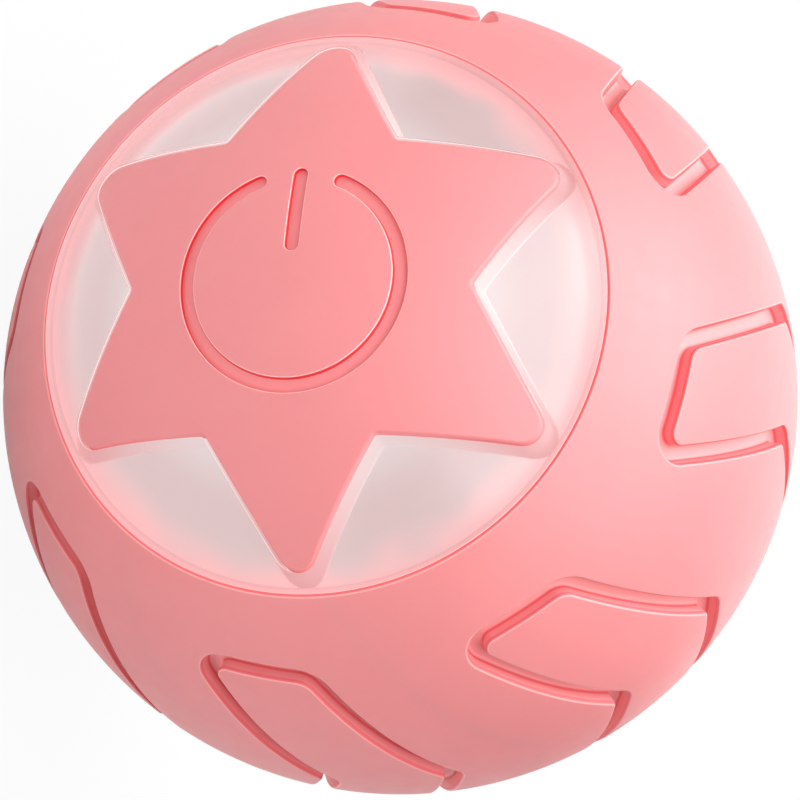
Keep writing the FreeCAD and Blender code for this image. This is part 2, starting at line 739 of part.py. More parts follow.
def make_button_parts():
    plate = skin(BALL_R, BALL_R - STAR_T).common(star_prism(0.0, -FAR, 0.0))
    stem = cyl(STEM_R, -BALL_R + STAR_T / 2.0, STEM_TIP_Y)
    collar = cyl(STEM_R + STEM_COLLAR_T, -BALL_R + STAR_T / 2.0, -BALL_R + STAR_T + STEM_COLLAR_L)
    clip_y0 = BOSS_END_Y + CLIP_GAP
    clip_y1 = clip_y0 + CLIP_T
    button = plate.fuse(stem).fuse(collar).cut(symbol_cutter())
    button = button.cut(tube(FAR, CLIP_GROOVE_R, clip_y0 - CLIP_GAP / 2.0, clip_y1 + CLIP_GAP))
    save("star_button", button)

    clip = tube(CLIP_R, CLIP_GROOVE_R + CLIP_GAP, clip_y0, clip_y1)
    clip = clip.cut(box(0, CLIP_R + 1, clip_y0 - 1, clip_y1 + 1, -CLIP_SLOT / 2.0, CLIP_SLOT / 2.0))
    save("button_clip", clip)

    # Coil spring between the pocket's floor and the star's underside
    spring_y1 = SPRING_POCKET_Y - SPRING_WIRE_R - SPRING_GAP
    seat = math.sqrt((BALL_R - STAR_T) ** 2 - (SPRING_MEAN_R + SPRING_WIRE_R) ** 2)
    spring_y0 = -seat + SPRING_WIRE_R + SPRING_GAP
    save("button_spring", coil(SPRING_MEAN_R, spring_y0, spring_y1, SPRING_TURNS, SPRING_WIRE_R))


def tangent_arc(start, apex, end):
    # Arc whose tangents at both ends meet at the apex
    middle = (start + end) * 0.5
    half = (end - start).Length / 2.0
    bend = math.acos(half / (apex - start).Length)
    outward = (apex - middle).normalize()
    return Part.Arc(start, middle + outward * (half * math.tan(bend / 2.0)), end).toShape()


def coil(mean_r, y0, y1, turns, wire_r):
    # Wire wound about the roll axis, in quarter turns of two tangent arcs each
    spans = 4 * turns
    rise = (y1 - y0) / spans
    points = []
    headings = []
    for i in range(spans + 1):
        angle = math.pi / 2.0 * i
        points.append(V(mean_r * math.cos(angle), y0 + rise * i, mean_r * math.sin(angle)))
        heading = V(-mean_r * math.sin(angle), rise * 2.0 / math.pi, mean_r * math.cos(angle))
        headings.append(heading.normalize())
    edges = []
    for i in range(spans):
        between = points[i + 1] - points[i]
        a = 2.0 * (1.0 - headings[i].dot(headings[i + 1]))
        b = between.dot(headings[i] + headings[i + 1])
        reach = (math.sqrt(b * b + a * between.dot(between)) - b) / a
        apex1 = points[i] + headings[i] * reach
        apex2 = points[i + 1] - headings[i + 1] * reach
        joint = (apex1 + apex2) * 0.5
        edges.append(tangent_arc(points[i], apex1, joint))
        edges.append(tangent_arc(joint, apex2, points[i + 1]))
    section = Part.Wire([Part.makeCircle(wire_r, points[0], headings[0])])
    solid = Part.Wire(edges).makePipeShell([section], True, False)
    swept = math.pi * wire_r ** 2 * sum(e.Length for e in edges)
    print("spring volume over section times length:", round(solid.Volume / swept, 4))
    print("spring's least gap to itself:", round(4.0 * rise - 2.0 * wire_r, 3))
    return solid


def make_carriage_parts():
    room = ball(CARRIAGE_R)
    mid_y1 = MID_WALL_Y + WALL_T
    floor_z0 = FLOOR_TOP - FLOOR_T
    axle_y0 = MID_WALL_Y + AXLE_SEAT

    # Chassis: front wall, floor, two beams and the motor wall in one moulding
    chassis = cyl(FRONT_WALL_R, FRONT_WALL_Y0, FRONT_WALL_Y1)
    chassis = chassis.fuse(cyl(MID_WALL_R, MID_WALL_Y, mid_y1))
    chassis = chassis.fuse(box(-BEAM_X1, BEAM_X1, FRONT_WALL_Y0, MID_WALL_Y, floor_z0, FLOOR_TOP))
    for side in (-1, 1):
        x0, x1 = sorted((side * BEAM_X0, side * BEAM_X1))
        chassis = chassis.fuse(box(x0, x1, FRONT_WALL_Y0, mid_y1, floor_z0, BEAM_Z))
    for x, z in BOARD_POSTS:
        chassis = chassis.fuse(cyl(POST_R, FRONT_WALL_Y1 - MERGE, BOARD_Y0, x, z))
    led_posts = around(LED_SCREWS, LED_SCREW_R, LED_SCREW_TURN)
    chassis = chassis.common(room)
    for x, z in led_posts:
        chassis = chassis.fuse(cyl(LED_POST_R, FRONT_WALL_Y0 - LED_BOARD_GAP, FRONT_WALL_Y0 + MERGE, x, z))
    chassis = chassis.cut(cyl(FRONT_BUSH_R, FRONT_WALL_Y0 - 1, FRONT_WALL_Y1 + 1))
    chassis = chassis.cut(cyl(MOTOR_BOSS_R + MOTOR_BOSS_GAP, MID_WALL_Y - 1, mid_y1 + 1, 0, MOTOR_Z))
    chassis = chassis.cut(cyl(AXLE_R, axle_y0, mid_y1 + 1, IDLER_X, IDLER_Z))
    for x, z in PILLARS:
        chassis = chassis.cut(cyl(SCREW_MID[0], MID_WALL_Y - 1, mid_y1 + 1, x, z))
    for x, z in BOARD_POSTS:
        chassis = chassis.cut(cyl(SCREW_SMALL[0], BOARD_Y0 - BOARD_SCREW_DEPTH, BOARD_Y0 + 1, x, z))
    for x, z in led_posts:
        hole_y1 = FRONT_WALL_Y0 + LED_SCREW_DEPTH + MERGE
        chassis = chassis.cut(cyl(SCREW_FINE[0], FRONT_WALL_Y0 - 1, hole_y1, x, z))
    slit = PIN_R + PIN_SLIT_GAP
    pin_half = (PINS - 1) / 2.0 * PIN_PITCH + slit
    pin_slit = box(-pin_half, pin_half, FRONT_WALL_Y0 - 1, FRONT_WALL_Y1 + 1, PIN_Z - slit, PIN_Z + slit)
    chassis = chassis.cut(pin_slit)
    for sign in (-1, 1):
        screw_x = sign * MOTOR_SCREW_X
        chassis = chassis.cut(cyl(SCREW_SMALL[0], MID_WALL_Y - 1, mid_y1 + 1, screw_x, MOTOR_Z))
        sink = cyl(SCREW_SMALL[1] + SCREW_GAP / 2.0, mid_y1 - SCREW_SMALL[2], mid_y1 + 1, screw_x, MOTOR_Z)
        chassis = chassis.cut(sink)
    for y in WEIGHT_SCREW_Y:
        foot = V(0, y, floor_z0 - 1)
        chassis = chassis.cut(Part.makeCylinder(SCREW_LARGE[0], FLOOR_T + 2, foot, V(0, 0, 1)))
    hole_x = WIRE_X - WIRE_R - WIRE_HOLE_GAP
    hole_w = 2.0 * (WIRE_R + WIRE_HOLE_GAP)
    hole_z = WIRE_Z - WIRE_PITCH - WIRE_R - WIRE_HOLE_GAP
    hole_h = hole_w + WIRE_PITCH
    wire_hole = box(hole_x, hole_x + hole_w, MID_WALL_Y - 1, mid_y1 + 1, hole_z, hole_z + hole_h)
    chassis = chassis.cut(wire_hole)
    save("chassis", chassis)

    # Bush in the front wall, running on the shell's boss
    flange_y = FRONT_WALL_Y0 - BUSH_FLANGE_T
    bush = tube(FRONT_BUSH_R, BOSS_R + RUN_GAP, flange_y, FRONT_WALL_Y1)
    bush = bush.fuse(tube(FRONT_FLANGE_R, BOSS_R + RUN_GAP, flange_y, FRONT_WALL_Y0))
    save("front_bush", bush)

    # Gear cover with pillars and the hollow neck
    cover_y1 = COVER_WALL_Y + COVER_WALL_T
    shoulder_y = SLEEVE_Y0 - BUSH_FLANGE_T - THRUST_GAP
    gear_cover = cyl(COVER_WALL_R, COVER_WALL_Y, cover_y1)
    gear_cover = gear_cover.fuse(cyl(NECK_R, COVER_WALL_Y, HUB_Y0))
    gear_cover = gear_cover.fuse(cyl(NECK_R + SHOULDER_T, COVER_WALL_Y, shoulder_y))
    for x, z in PILLARS:
        gear_cover = gear_cover.fuse(cyl(PILLAR_R, mid_y1, COVER_WALL_Y + MERGE, x, z))
    gear_cover = gear_cover.cut(cyl(NECK_BORE_R, 0, FAR))
    gear_cover = gear_cover.cut(cyl(AXLE_R, COVER_WALL_Y - 1, cover_y1 + 1, IDLER_X, IDLER_Z))
    screws = []
    for x, z in PILLARS:
        gear_cover = gear_cover.cut(cyl(SCREW_MID[0], 0, FAR, x, z))
        seat_cut = cyl(SCREW_MID[1] + SCREW_GAP, cover_y1, FAR, x, z)
        gear_cover = gear_cover.cut(seat_cut)
        screws.append(screw(SCREW_MID, cover_y1, cover_y1 - MID_WALL_Y - SCREW_GAP, x, z, 1))
    hole_y0 = HUB_Y0 - HUB_SCREW_DEPTH - MERGE
    for sign in (-1, 1):
        gear_cover = gear_cover.cut(cyl(SCREW_FINE[0], hole_y0, FAR, sign * HUB_SCREW_X, 0))
    save("gear_cover", gear_cover)
    save("gear_cover_screws", screws)

    # Motor
    motor_y0 = MID_WALL_Y - MOTOR_L
    shaft_hole_y = MID_WALL_Y - MOTOR_SHAFT_HIDDEN - SCREW_GAP
    can = cyl(MOTOR_D / 2.0, motor_y0, MID_WALL_Y, 0, MOTOR_Z)
    flats = box(-FAR, FAR, motor_y0, MID_WALL_Y, MOTOR_Z - MOTOR_H / 2.0, MOTOR_Z + MOTOR_H / 2.0)
    motor = can.common(flats)
    motor = motor.fuse(cyl(MOTOR_BOSS_R, MID_WALL_Y, MID_WALL_Y + MOTOR_BOSS_L, 0, MOTOR_Z))
    motor = motor.cut(cyl(MOTOR_SHAFT_R + AXLE_GAP, shaft_hole_y, FAR, 0, MOTOR_Z))
    hole_y0 = MID_WALL_Y - MOTOR_SCREW_DEPTH - SCREW_GAP
    for sign in (-1, 1):
        motor = motor.cut(cyl(SCREW_SMALL[0], hole_y0, MID_WALL_Y + 1, sign * MOTOR_SCREW_X, MOTOR_Z))
        terminal = box(-TERMINAL_W / 2.0, TERMINAL_W / 2.0, motor_y0 - TERMINAL_L, motor_y0 + MERGE,
                       MOTOR_Z - TERMINAL_T / 2.0, MOTOR_Z + TERMINAL_T / 2.0)
        terminal.translate(V(sign * TERMINAL_X, 0, 0))
        motor = motor.fuse(terminal)
    save("motor", motor)
    screws = []
    seat = mid_y1 - SCREW_SMALL[2]
    length = seat - MID_WALL_Y + MOTOR_SCREW_DEPTH
    for sign in (-1, 1):
        screws.append(screw(SCREW_SMALL, seat, length, sign * MOTOR_SCREW_X, MOTOR_Z, 1))
    save("motor_screws", screws)
    shaft_y1 = MOTOR_PINION_Y1 + MOTOR_SHAFT_PROUD
    save("motor_shaft", cyl(MOTOR_SHAFT_R, MID_WALL_Y - MOTOR_SHAFT_HIDDEN, shaft_y1, 0, MOTOR_Z))
    phase = MESH_ANGLE + math.pi + math.pi / MOTOR_TEETH
    pinion = spur_gear(MOTOR_TEETH, phase, MOTOR_PINION_Y0, MOTOR_PINION_Y1, 0, MOTOR_Z)
    save("motor_pinion", pinion.cut(cyl(MOTOR_SHAFT_R, 0, FAR, 0, MOTOR_Z)))

    # Idler: wheel and pinion in one moulding, on its axle
    wheel_y1 = WHEEL_Y0 + WHEEL_T
    idler = spur_gear(WHEEL_TEETH, MESH_ANGLE, WHEEL_Y0, wheel_y1, IDLER_X, IDLER_Z)
    idler = idler.fuse(spur_gear(IDLER_TEETH, IDLER_ANGLE, wheel_y1, IDLER_PINION_Y1, IDLER_X, IDLER_Z))
    idler = idler.cut(cyl(AXLE_R + AXLE_GAP, 0, FAR, IDLER_X, IDLER_Z))
    save("idler_gear", idler)
    save("idler_axle", cyl(AXLE_R, axle_y0, cover_y1, IDLER_X, IDLER_Z))

    # Battery on its foam tape over the motor
    motor_top = MOTOR_Z + MOTOR_H / 2.0
    battery_z0 = motor_top + TAPE_T
    battery_y1 = BATTERY_Y0 + BATTERY_L
    battery_z1 = battery_z0 + BATTERY_T
    cell = box(-BATTERY_W / 2.0, BATTERY_W / 2.0, BATTERY_Y0, battery_y1, battery_z0, battery_z1)
    long_edges = [e for e in cell.Edges if e.BoundBox.XLength > BATTERY_W / 2.0]
    save("battery", cell.makeFillet(BATTERY_FILLET, long_edges))
    tape_y = BATTERY_Y0 + BATTERY_L / 2.0
    save("battery_tape", box(-TAPE_W / 2.0, TAPE_W / 2.0, tape_y - TAPE_L / 2.0, tape_y + TAPE_L / 2.0,
                             motor_top, battery_z0))
    board_y1 = BOARD_Y0 + BOARD_T
    tabs = []
    for sign in (-1, 1):
        tabs.append(cyl(TAB_R, board_y1, BATTERY_Y0, sign * TAB_X, battery_z0 + BATTERY_T / 2.0))
    save("battery_tabs", tabs)

    # Steel counterweight under the floor, trimmed to the ball's curve
    weight = ball(WEIGHT_R).common(box(-WEIGHT_X, WEIGHT_X, WEIGHT_Y0, WEIGHT_Y1, -FAR, floor_z0))
    screws = []
    for y in WEIGHT_SCREW_Y:
        foot = V(0, y, -FAR)
        up = V(0, 0, 1)
        weight = weight.cut(Part.makeCylinder(SCREW_LARGE[0] + SCREW_GAP, FAR, foot, up))
        pocket_l = FAR + WEIGHT_SCREW_HEAD_Z
        weight = weight.cut(Part.makeCylinder(SCREW_LARGE[1] + SCREW_GAP, pocket_l, foot, up))
        shank_l = FLOOR_TOP - SCREW_GAP - WEIGHT_SCREW_HEAD_Z
        body = Part.makeCylinder(SCREW_LARGE[0], shank_l, V(0, y, WEIGHT_SCREW_HEAD_Z), up)
        head_z = WEIGHT_SCREW_HEAD_Z - SCREW_LARGE[2]
        head = Part.makeCylinder(SCREW_LARGE[1], SCREW_LARGE[2], V(0, y, head_z), up)
        drive = Part.makeCylinder(SCREW_LARGE[1] * DRIVE, SCREW_LARGE[2] / 2.0, V(0, y, head_z), up)
        screws.append(body.fuse(head).cut(drive))
    save("counterweight", weight)
    save("counterweight_screws", screws)


def chip_on_board(item):
    x, z, width, height, thick = item
    x0 = x - width / 2.0
    z0 = z - height / 2.0
    return box(x0, x0 + width, BOARD_Y0 - thick, BOARD_Y0, z0, z0 + height)


def pin_places():
    return [(i - (PINS - 1) / 2.0) * PIN_PITCH for i in range(PINS)]


def make_electronics():
    board_y1 = BOARD_Y0 + BOARD_T

    # Main board with the switch on the roll axis
    board = cyl(BOARD_R, BOARD_Y0, board_y1).common(box(-BOARD_X, BOARD_X, -FAR, FAR, FLOOR_TOP, FAR))
    screws = []
    for x, z in BOARD_POSTS:
        board = board.cut(cyl(SCREW_SMALL[0] + SCREW_GAP, -FAR, FAR, x, z))
        screws.append(screw(SCREW_SMALL, board_y1, BOARD_T + BOARD_SCREW_DEPTH - SCREW_GAP, x, z, 1))
    pins_y0 = FRONT_WALL_Y0 - LED_BOARD_GAP - BOARD_T
    for x in pin_places():
        board = board.cut(cyl(PIN_R, -FAR, FAR, x, PIN_Z))
    save("main_board", board)
    save("board_screws", screws)
    save("controller_chip", chip_on_board(CONTROLLER))
    save("board_parts", [chip_on_board(item) for item in BOARD_PARTS])

    switch_y0 = BOARD_Y0 - SWITCH_T
    half = SWITCH_W / 2.0
    switch = box(-half, half, switch_y0, BOARD_Y0, -half, half)
    well_y = BOARD_Y0 - SWITCH_BASE_T
    switch = switch.cut(cyl(PLUNGER_R + PLUNGER_GAP, switch_y0 - 1, well_y))
    save("tact_switch", switch)
    plunger_y0 = STEM_TIP_Y + PLUNGER_FREE
    plunger_y1 = well_y - BUTTON_TRAVEL - PLUNGER_FREE
    save("switch_plunger", cyl(PLUNGER_R, plunger_y0, plunger_y1))

    # Board with the lamps that light the window from behind
    led_y1 = FRONT_WALL_Y0 - LED_BOARD_GAP
    led_board = tube(LED_BOARD_R, LED_BOARD_HOLE_R, pins_y0, led_y1)
    screws = []
    for x, z in around(LED_SCREWS, LED_SCREW_R, LED_SCREW_TURN):
        led_board = led_board.cut(cyl(SCREW_FINE[0] + SCREW_GAP, -FAR, FAR, x, z))
        screws.append(screw(SCREW_FINE, pins_y0, BOARD_T + LED_BOARD_GAP + LED_SCREW_DEPTH, x, z, -1))
    for x in pin_places():
        led_board = led_board.cut(cyl(PIN_R, -FAR, FAR, x, PIN_Z))
    save("led_board", led_board)
    save("led_screws", screws)
    lamps = []
    for x, z in around(LEDS, LED_RING_R):
        half = LED_W / 2.0
        lamps.append(box(x - half, x + half, pins_y0 - LED_T, pins_y0, z - half, z + half))
    save("leds", lamps)
    pins = [cyl(PIN_R, pins_y0 - PIN_PROUD, board_y1, x, PIN_Z) for x in pin_places()]
    save("led_pins", pins)

    # Charging socket, upright in the neck, on its own small board
    usb_board = cyl(USB_BOARD_R, COVER_WALL_Y - BOARD_T, COVER_WALL_Y)
    save("usb_board", usb_board)
    outer = slot_prism(USB_W, USB_H, USB_H / 2.0 - ROUND_END, COVER_WALL_Y, USB_MOUTH_Y)
    in_w = USB_W - 2.0 * USB_SHEET
    in_h = USB_H - 2.0 * USB_SHEET
    cavity = slot_prism(in_w, in_h, in_h / 2.0 - ROUND_END, USB_MOUTH_Y - USB_DEPTH, USB_MOUTH_Y + 1)
    tongue_y0 = USB_MOUTH_Y - USB_DEPTH - MERGE
    tongue = box(-USB_TONGUE_W / 2.0, USB_TONGUE_W / 2.0, tongue_y0, USB_MOUTH_Y - USB_TONGUE_SINK,
                 -USB_TONGUE_T / 2.0, USB_TONGUE_T / 2.0)
    save("usb_socket", outer.cut(cavity).fuse(tongue))

    # Hub cap, with a recess that takes a cable's plug body
    hub = cyl(HUB_R, HUB_Y0, FAR).common(ball(BALL_R))
    hub_rim = [e for e in hub.Edges if e.BoundBox.YLength < 0.01 and e.BoundBox.YMin > HUB_Y0 + MERGE]
    hub = hub.makeFillet(RIM_FILLET, hub_rim)
    hub = hub.cut(slot_prism(RECESS_W, RECESS_H, RECESS_CORNER, HUB_FLOOR_Y, FAR))
    mouth_w = USB_W + 2.0 * USB_HOLE_GAP
    mouth_h = USB_H + 2.0 * USB_HOLE_GAP
    hub = hub.cut(slot_prism(mouth_w, mouth_h, mouth_h / 2.0 - ROUND_END, HUB_Y0 - 1, HUB_FLOOR_Y + 1))
    screws = []
    length = HUB_FLOOR_T + HUB_SCREW_DEPTH
    for sign in (-1, 1):
        hub = hub.cut(cyl(SCREW_FINE[0] + SCREW_GAP, 0, HUB_FLOOR_Y + 1, sign * HUB_SCREW_X, 0))
        screws.append(screw(SCREW_FINE, HUB_FLOOR_Y, length, sign * HUB_SCREW_X, 0, 1))
        hub = hub.cut(cyl(SCREW_FINE[1] + SCREW_GAP, HUB_FLOOR_Y, FAR, sign * HUB_SCREW_X, 0))
    save("hub_cap", hub)
    save("hub_cap_screws", screws)

    # Silicone plug of the charging port
    base_y = HUB_FLOOR_Y + PLUG_GAP
    plug_w = RECESS_W - 2.0 * PLUG_GAP
    plug_h = RECESS_H - 2.0 * PLUG_GAP
    plug = slot_prism(plug_w, plug_h, RECESS_CORNER - PLUG_GAP, base_y, FAR)
    plug = plug.common(ball(BALL_R - PLUG_SINK))
    pocket_y1 = HUB_FLOOR_Y + SCREW_FINE[2] + PLUG_GAP
    for sign in (-1, 1):
        plug = plug.cut(cyl(SCREW_FINE[1] + SCREW_GAP, base_y - 1, pocket_y1, sign * HUB_SCREW_X, 0))
    tongue_w = in_w - 2.0 * PLUG_TONGUE_GAP
    tongue_h = in_h - 2.0 * PLUG_TONGUE_GAP
    insert_y0 = USB_MOUTH_Y - PLUG_TONGUE_L
    insert = slot_prism(tongue_w, tongue_h, tongue_h / 2.0 - ROUND_END, insert_y0, base_y + MERGE)
    slit_w = USB_TONGUE_W + 2.0 * PLUG_TONGUE_GAP
    slit_h = USB_TONGUE_T + 2.0 * PLUG_TONGUE_GAP
    slit_y1 = USB_MOUTH_Y - USB_TONGUE_SINK + PLUG_TONGUE_GAP
    slit = box(-slit_w / 2.0, slit_w / 2.0, insert_y0 - 1, slit_y1, -slit_h / 2.0, slit_h / 2.0)
    plug = plug.fuse(insert.cut(slit))
    notch = cyl(NOTCH_R, BALL_R - NOTCH_DEPTH, FAR, 0, RECESS_H / 2.0)
    save("port_plug", plug.cut(notch))

    # Wires from the charging board through the motor wall to the main board
    wires = []
    port_y = COVER_WALL_Y - BOARD_T
    for i in (0, 1):
        z = WIRE_Z - i * WIRE_PITCH
        points = [V(WIRE_PORT_X, port_y, z), V(WIRE_PORT_X, port_y - WIRE_PORT_BEND, z),
                  V(WIRE_X, port_y - WIRE_SIDE_BEND, z), V(WIRE_X, board_y1, z)]
        wires.append(wire_tube(points, WIRE_R, WIRE_BEND))
    save("usb_wires", wires)


def wire_tube(points, radius, bend):
    # Straight runs joined by tangent arcs
    edges = []
    last = points[0]
    for i in range(1, len(points) - 1):
        into = (points[i] - points[i - 1]).normalize()
        out = (points[i + 1] - points[i]).normalize()
        turn = into.getAngle(out)
        run = min((points[i] - points[i - 1]).Length, (points[i + 1] - points[i]).Length)
        cut = min(bend * math.tan(turn / 2.0), WIRE_BEND_SHARE * run)
        r = cut / math.tan(turn / 2.0)
        start = points[i] - into * cut
        end = points[i] + out * cut
        toward = (out - into).normalize()
        centre = points[i] + toward * (r / math.cos(turn / 2.0))
        middle = centre - toward * r
        edges.append(Part.makeLine(last, start))
        edges.append(Part.Arc(start, middle, end).toShape())
        last = end
    edges.append(Part.makeLine(last, points[-1]))
    path = Part.Wire(edges)
    section = Part.Wire([Part.makeCircle(radius, points[0], points[1] - points[0])])
    solid = path.makePipeShell([section], True, False)
    swept = math.pi * radius ** 2 * sum(e.Length for e in edges)
    print("wire volume over section times length:", round(solid.Volume / swept, 4))
    return solid


os.makedirs("parts", exist_ok=True)
make_shell_parts()
make_button_parts()
make_carriage_parts()
make_electronics()
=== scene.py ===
import json
import math
import bpy
import numpy as np
from mathutils import Matrix, Vector
from mathutils.geometry import delaunay_2d_cdt


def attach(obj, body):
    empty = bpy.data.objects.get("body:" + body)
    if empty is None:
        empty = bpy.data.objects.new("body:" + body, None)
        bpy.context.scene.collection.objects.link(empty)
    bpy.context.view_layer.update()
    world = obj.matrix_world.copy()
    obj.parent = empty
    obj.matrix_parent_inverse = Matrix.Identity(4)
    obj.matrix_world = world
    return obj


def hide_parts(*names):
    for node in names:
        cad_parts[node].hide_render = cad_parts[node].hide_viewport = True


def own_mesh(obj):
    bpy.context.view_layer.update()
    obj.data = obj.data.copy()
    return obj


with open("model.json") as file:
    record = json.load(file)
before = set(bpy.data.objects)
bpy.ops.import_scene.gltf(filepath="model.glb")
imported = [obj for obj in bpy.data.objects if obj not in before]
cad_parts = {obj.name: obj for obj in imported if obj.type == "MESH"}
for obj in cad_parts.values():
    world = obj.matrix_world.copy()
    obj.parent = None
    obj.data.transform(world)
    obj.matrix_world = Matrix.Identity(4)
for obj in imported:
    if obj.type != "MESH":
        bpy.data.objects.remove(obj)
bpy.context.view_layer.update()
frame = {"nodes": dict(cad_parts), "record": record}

# The part's sizes, in millimetres and degrees, as in part.py
MM = 0.001
BALL_R = 21.5
HARD_R = 19.9
RIM_POLAR = 45.0
RIM_FILLET = 0.22
FLANGE_POLAR = 48.0
FLANGE_R = 20.4
FLANGE_GAP = 0.06
LENS_GAP = 0.05
TREADS = 8
TREAD_FIRST = 34.4
GROOVE_DEPTH = 0.9
TREAD_HALF_SPAN = 30.75
TREAD_LEAN_A = 0.444
TREAD_LEAN_B = 0.5
TREAD_FRONT_Q = -1.45
TREAD_BACK_Q = 16.75
TREAD_HEEL_R = 1.6
TREAD_TOE_R = 1.15
TREAD_MID_R = 1.2
STAR_T = 0.8
STAR_APEX_R = 15.13
STAR_INNER_R = 9.02
STAR_TIP_FILLET = 1.13
STAR_INNER_FILLET = 0.4
STAR_GAP = 0.12
STAR_POINTS = 6
SYMBOL_DEPTH = 0.3
SYMBOL_RING_R = 5.65
SYMBOL_GAP_HALF = 22.5
SYMBOL_BAR_IN = 1.65
SYMBOL_BAR_OUT = 5.6
HUB_HOLE_R = 8.65
STEM_R = 1.0
STEM_COLLAR_R = 1.3
STEM_COLLAR_Y = -20.2
STEM_TIP_Y = -10.6
CLIP_GROOVE_R = 0.7
CLIP_GROOVE_Y0 = -11.19
CLIP_GROOVE_Y1 = -10.81

# Half widths of the engraved lines, and the roundings of the visible edges, in millimetres
GROOVE_HALF = 0.46
GROOVE_LIP = 0.2
GROOVE_FOOT = 0.24
STAR_LIP = 0.12
SYMBOL_HALF = 0.36
SYMBOL_LIP = 0.09
SYMBOL_FOOT = 0.06
LENS_LIP = 0.08
LENS_SHOULDER_W = 1.0
LENS_SHOULDER_DROP = 0.03
SMALL_LIP = 0.06

# The lens and the cover stand this far off the hard shell, so that no two surfaces coincide
SKIN_GAP = 0.03

# Fineness of the meshes: numbers of steps and points, angles between stations in degrees, and the spacing of
# points on faces in millimetres
LIP_STEPS = 6
RIM_STEPS = 5
SMALL_STEPS = 2
FOOT_STEPS = 4
SHOULDER_STEPS = 8
ARC_STEP_DEG = 9.0
RUN_STEP_DEG = 1.2
RIM_COLUMNS = 31
BORDER_POINTS = 75
INNER_ROWS = 17
TIP_STEPS = 10
CORNER_STEPS = 6
STAR_EDGE_STEPS = 14
RING_POINTS = 81
CAP_STEPS = 10
BAR_POINTS = 10
CIRCLE_POINTS = 240
STEM_SIDES = 48
FACE_SPACING = 0.5
SYMBOL_FLOOR_SPACING = 0.3
STAR_UNDER_SPACING = 0.9
LENS_UNDER_SPACING = 0.8

# Points on faces keep this share of their spacing from the region's edge, and are tested so many at a time.
# Points nearer than the last number count as one in the triangulation
EDGE_CLEARANCE = 0.6
FILL_BATCH = 500
CHART_EPSILON = 1e-7

# Corners that round to one place on this grid are welded. The shift keeps round values off the grid's borders
WELD_PER_MM = 2e4
WELD_SHIFT = 0.137


def unit(v):
    return v / np.linalg.norm(v, axis=-1, keepdims=True)


def inside(points, loops):
    """Even-odd test of (n, 2) points against closed loops."""
    x = points[:, :1]
    y = points[:, 1:]
    odd = np.zeros(len(points), bool)
    for loop in loops:
        after = np.roll(loop, -1, axis=0)
        rise = after[:, 1] - loop[:, 1]
        rise[rise == 0] = 1.0  # a level side is never crossed, so any number does
        at = loop[:, 0] + (y - loop[:, 1]) * (after[:, 0] - loop[:, 0]) / rise
        crossed = ((loop[:, 1] > y) != (after[:, 1] > y)) & (x < at)
        odd ^= crossed.sum(axis=1) % 2 == 1
    return odd


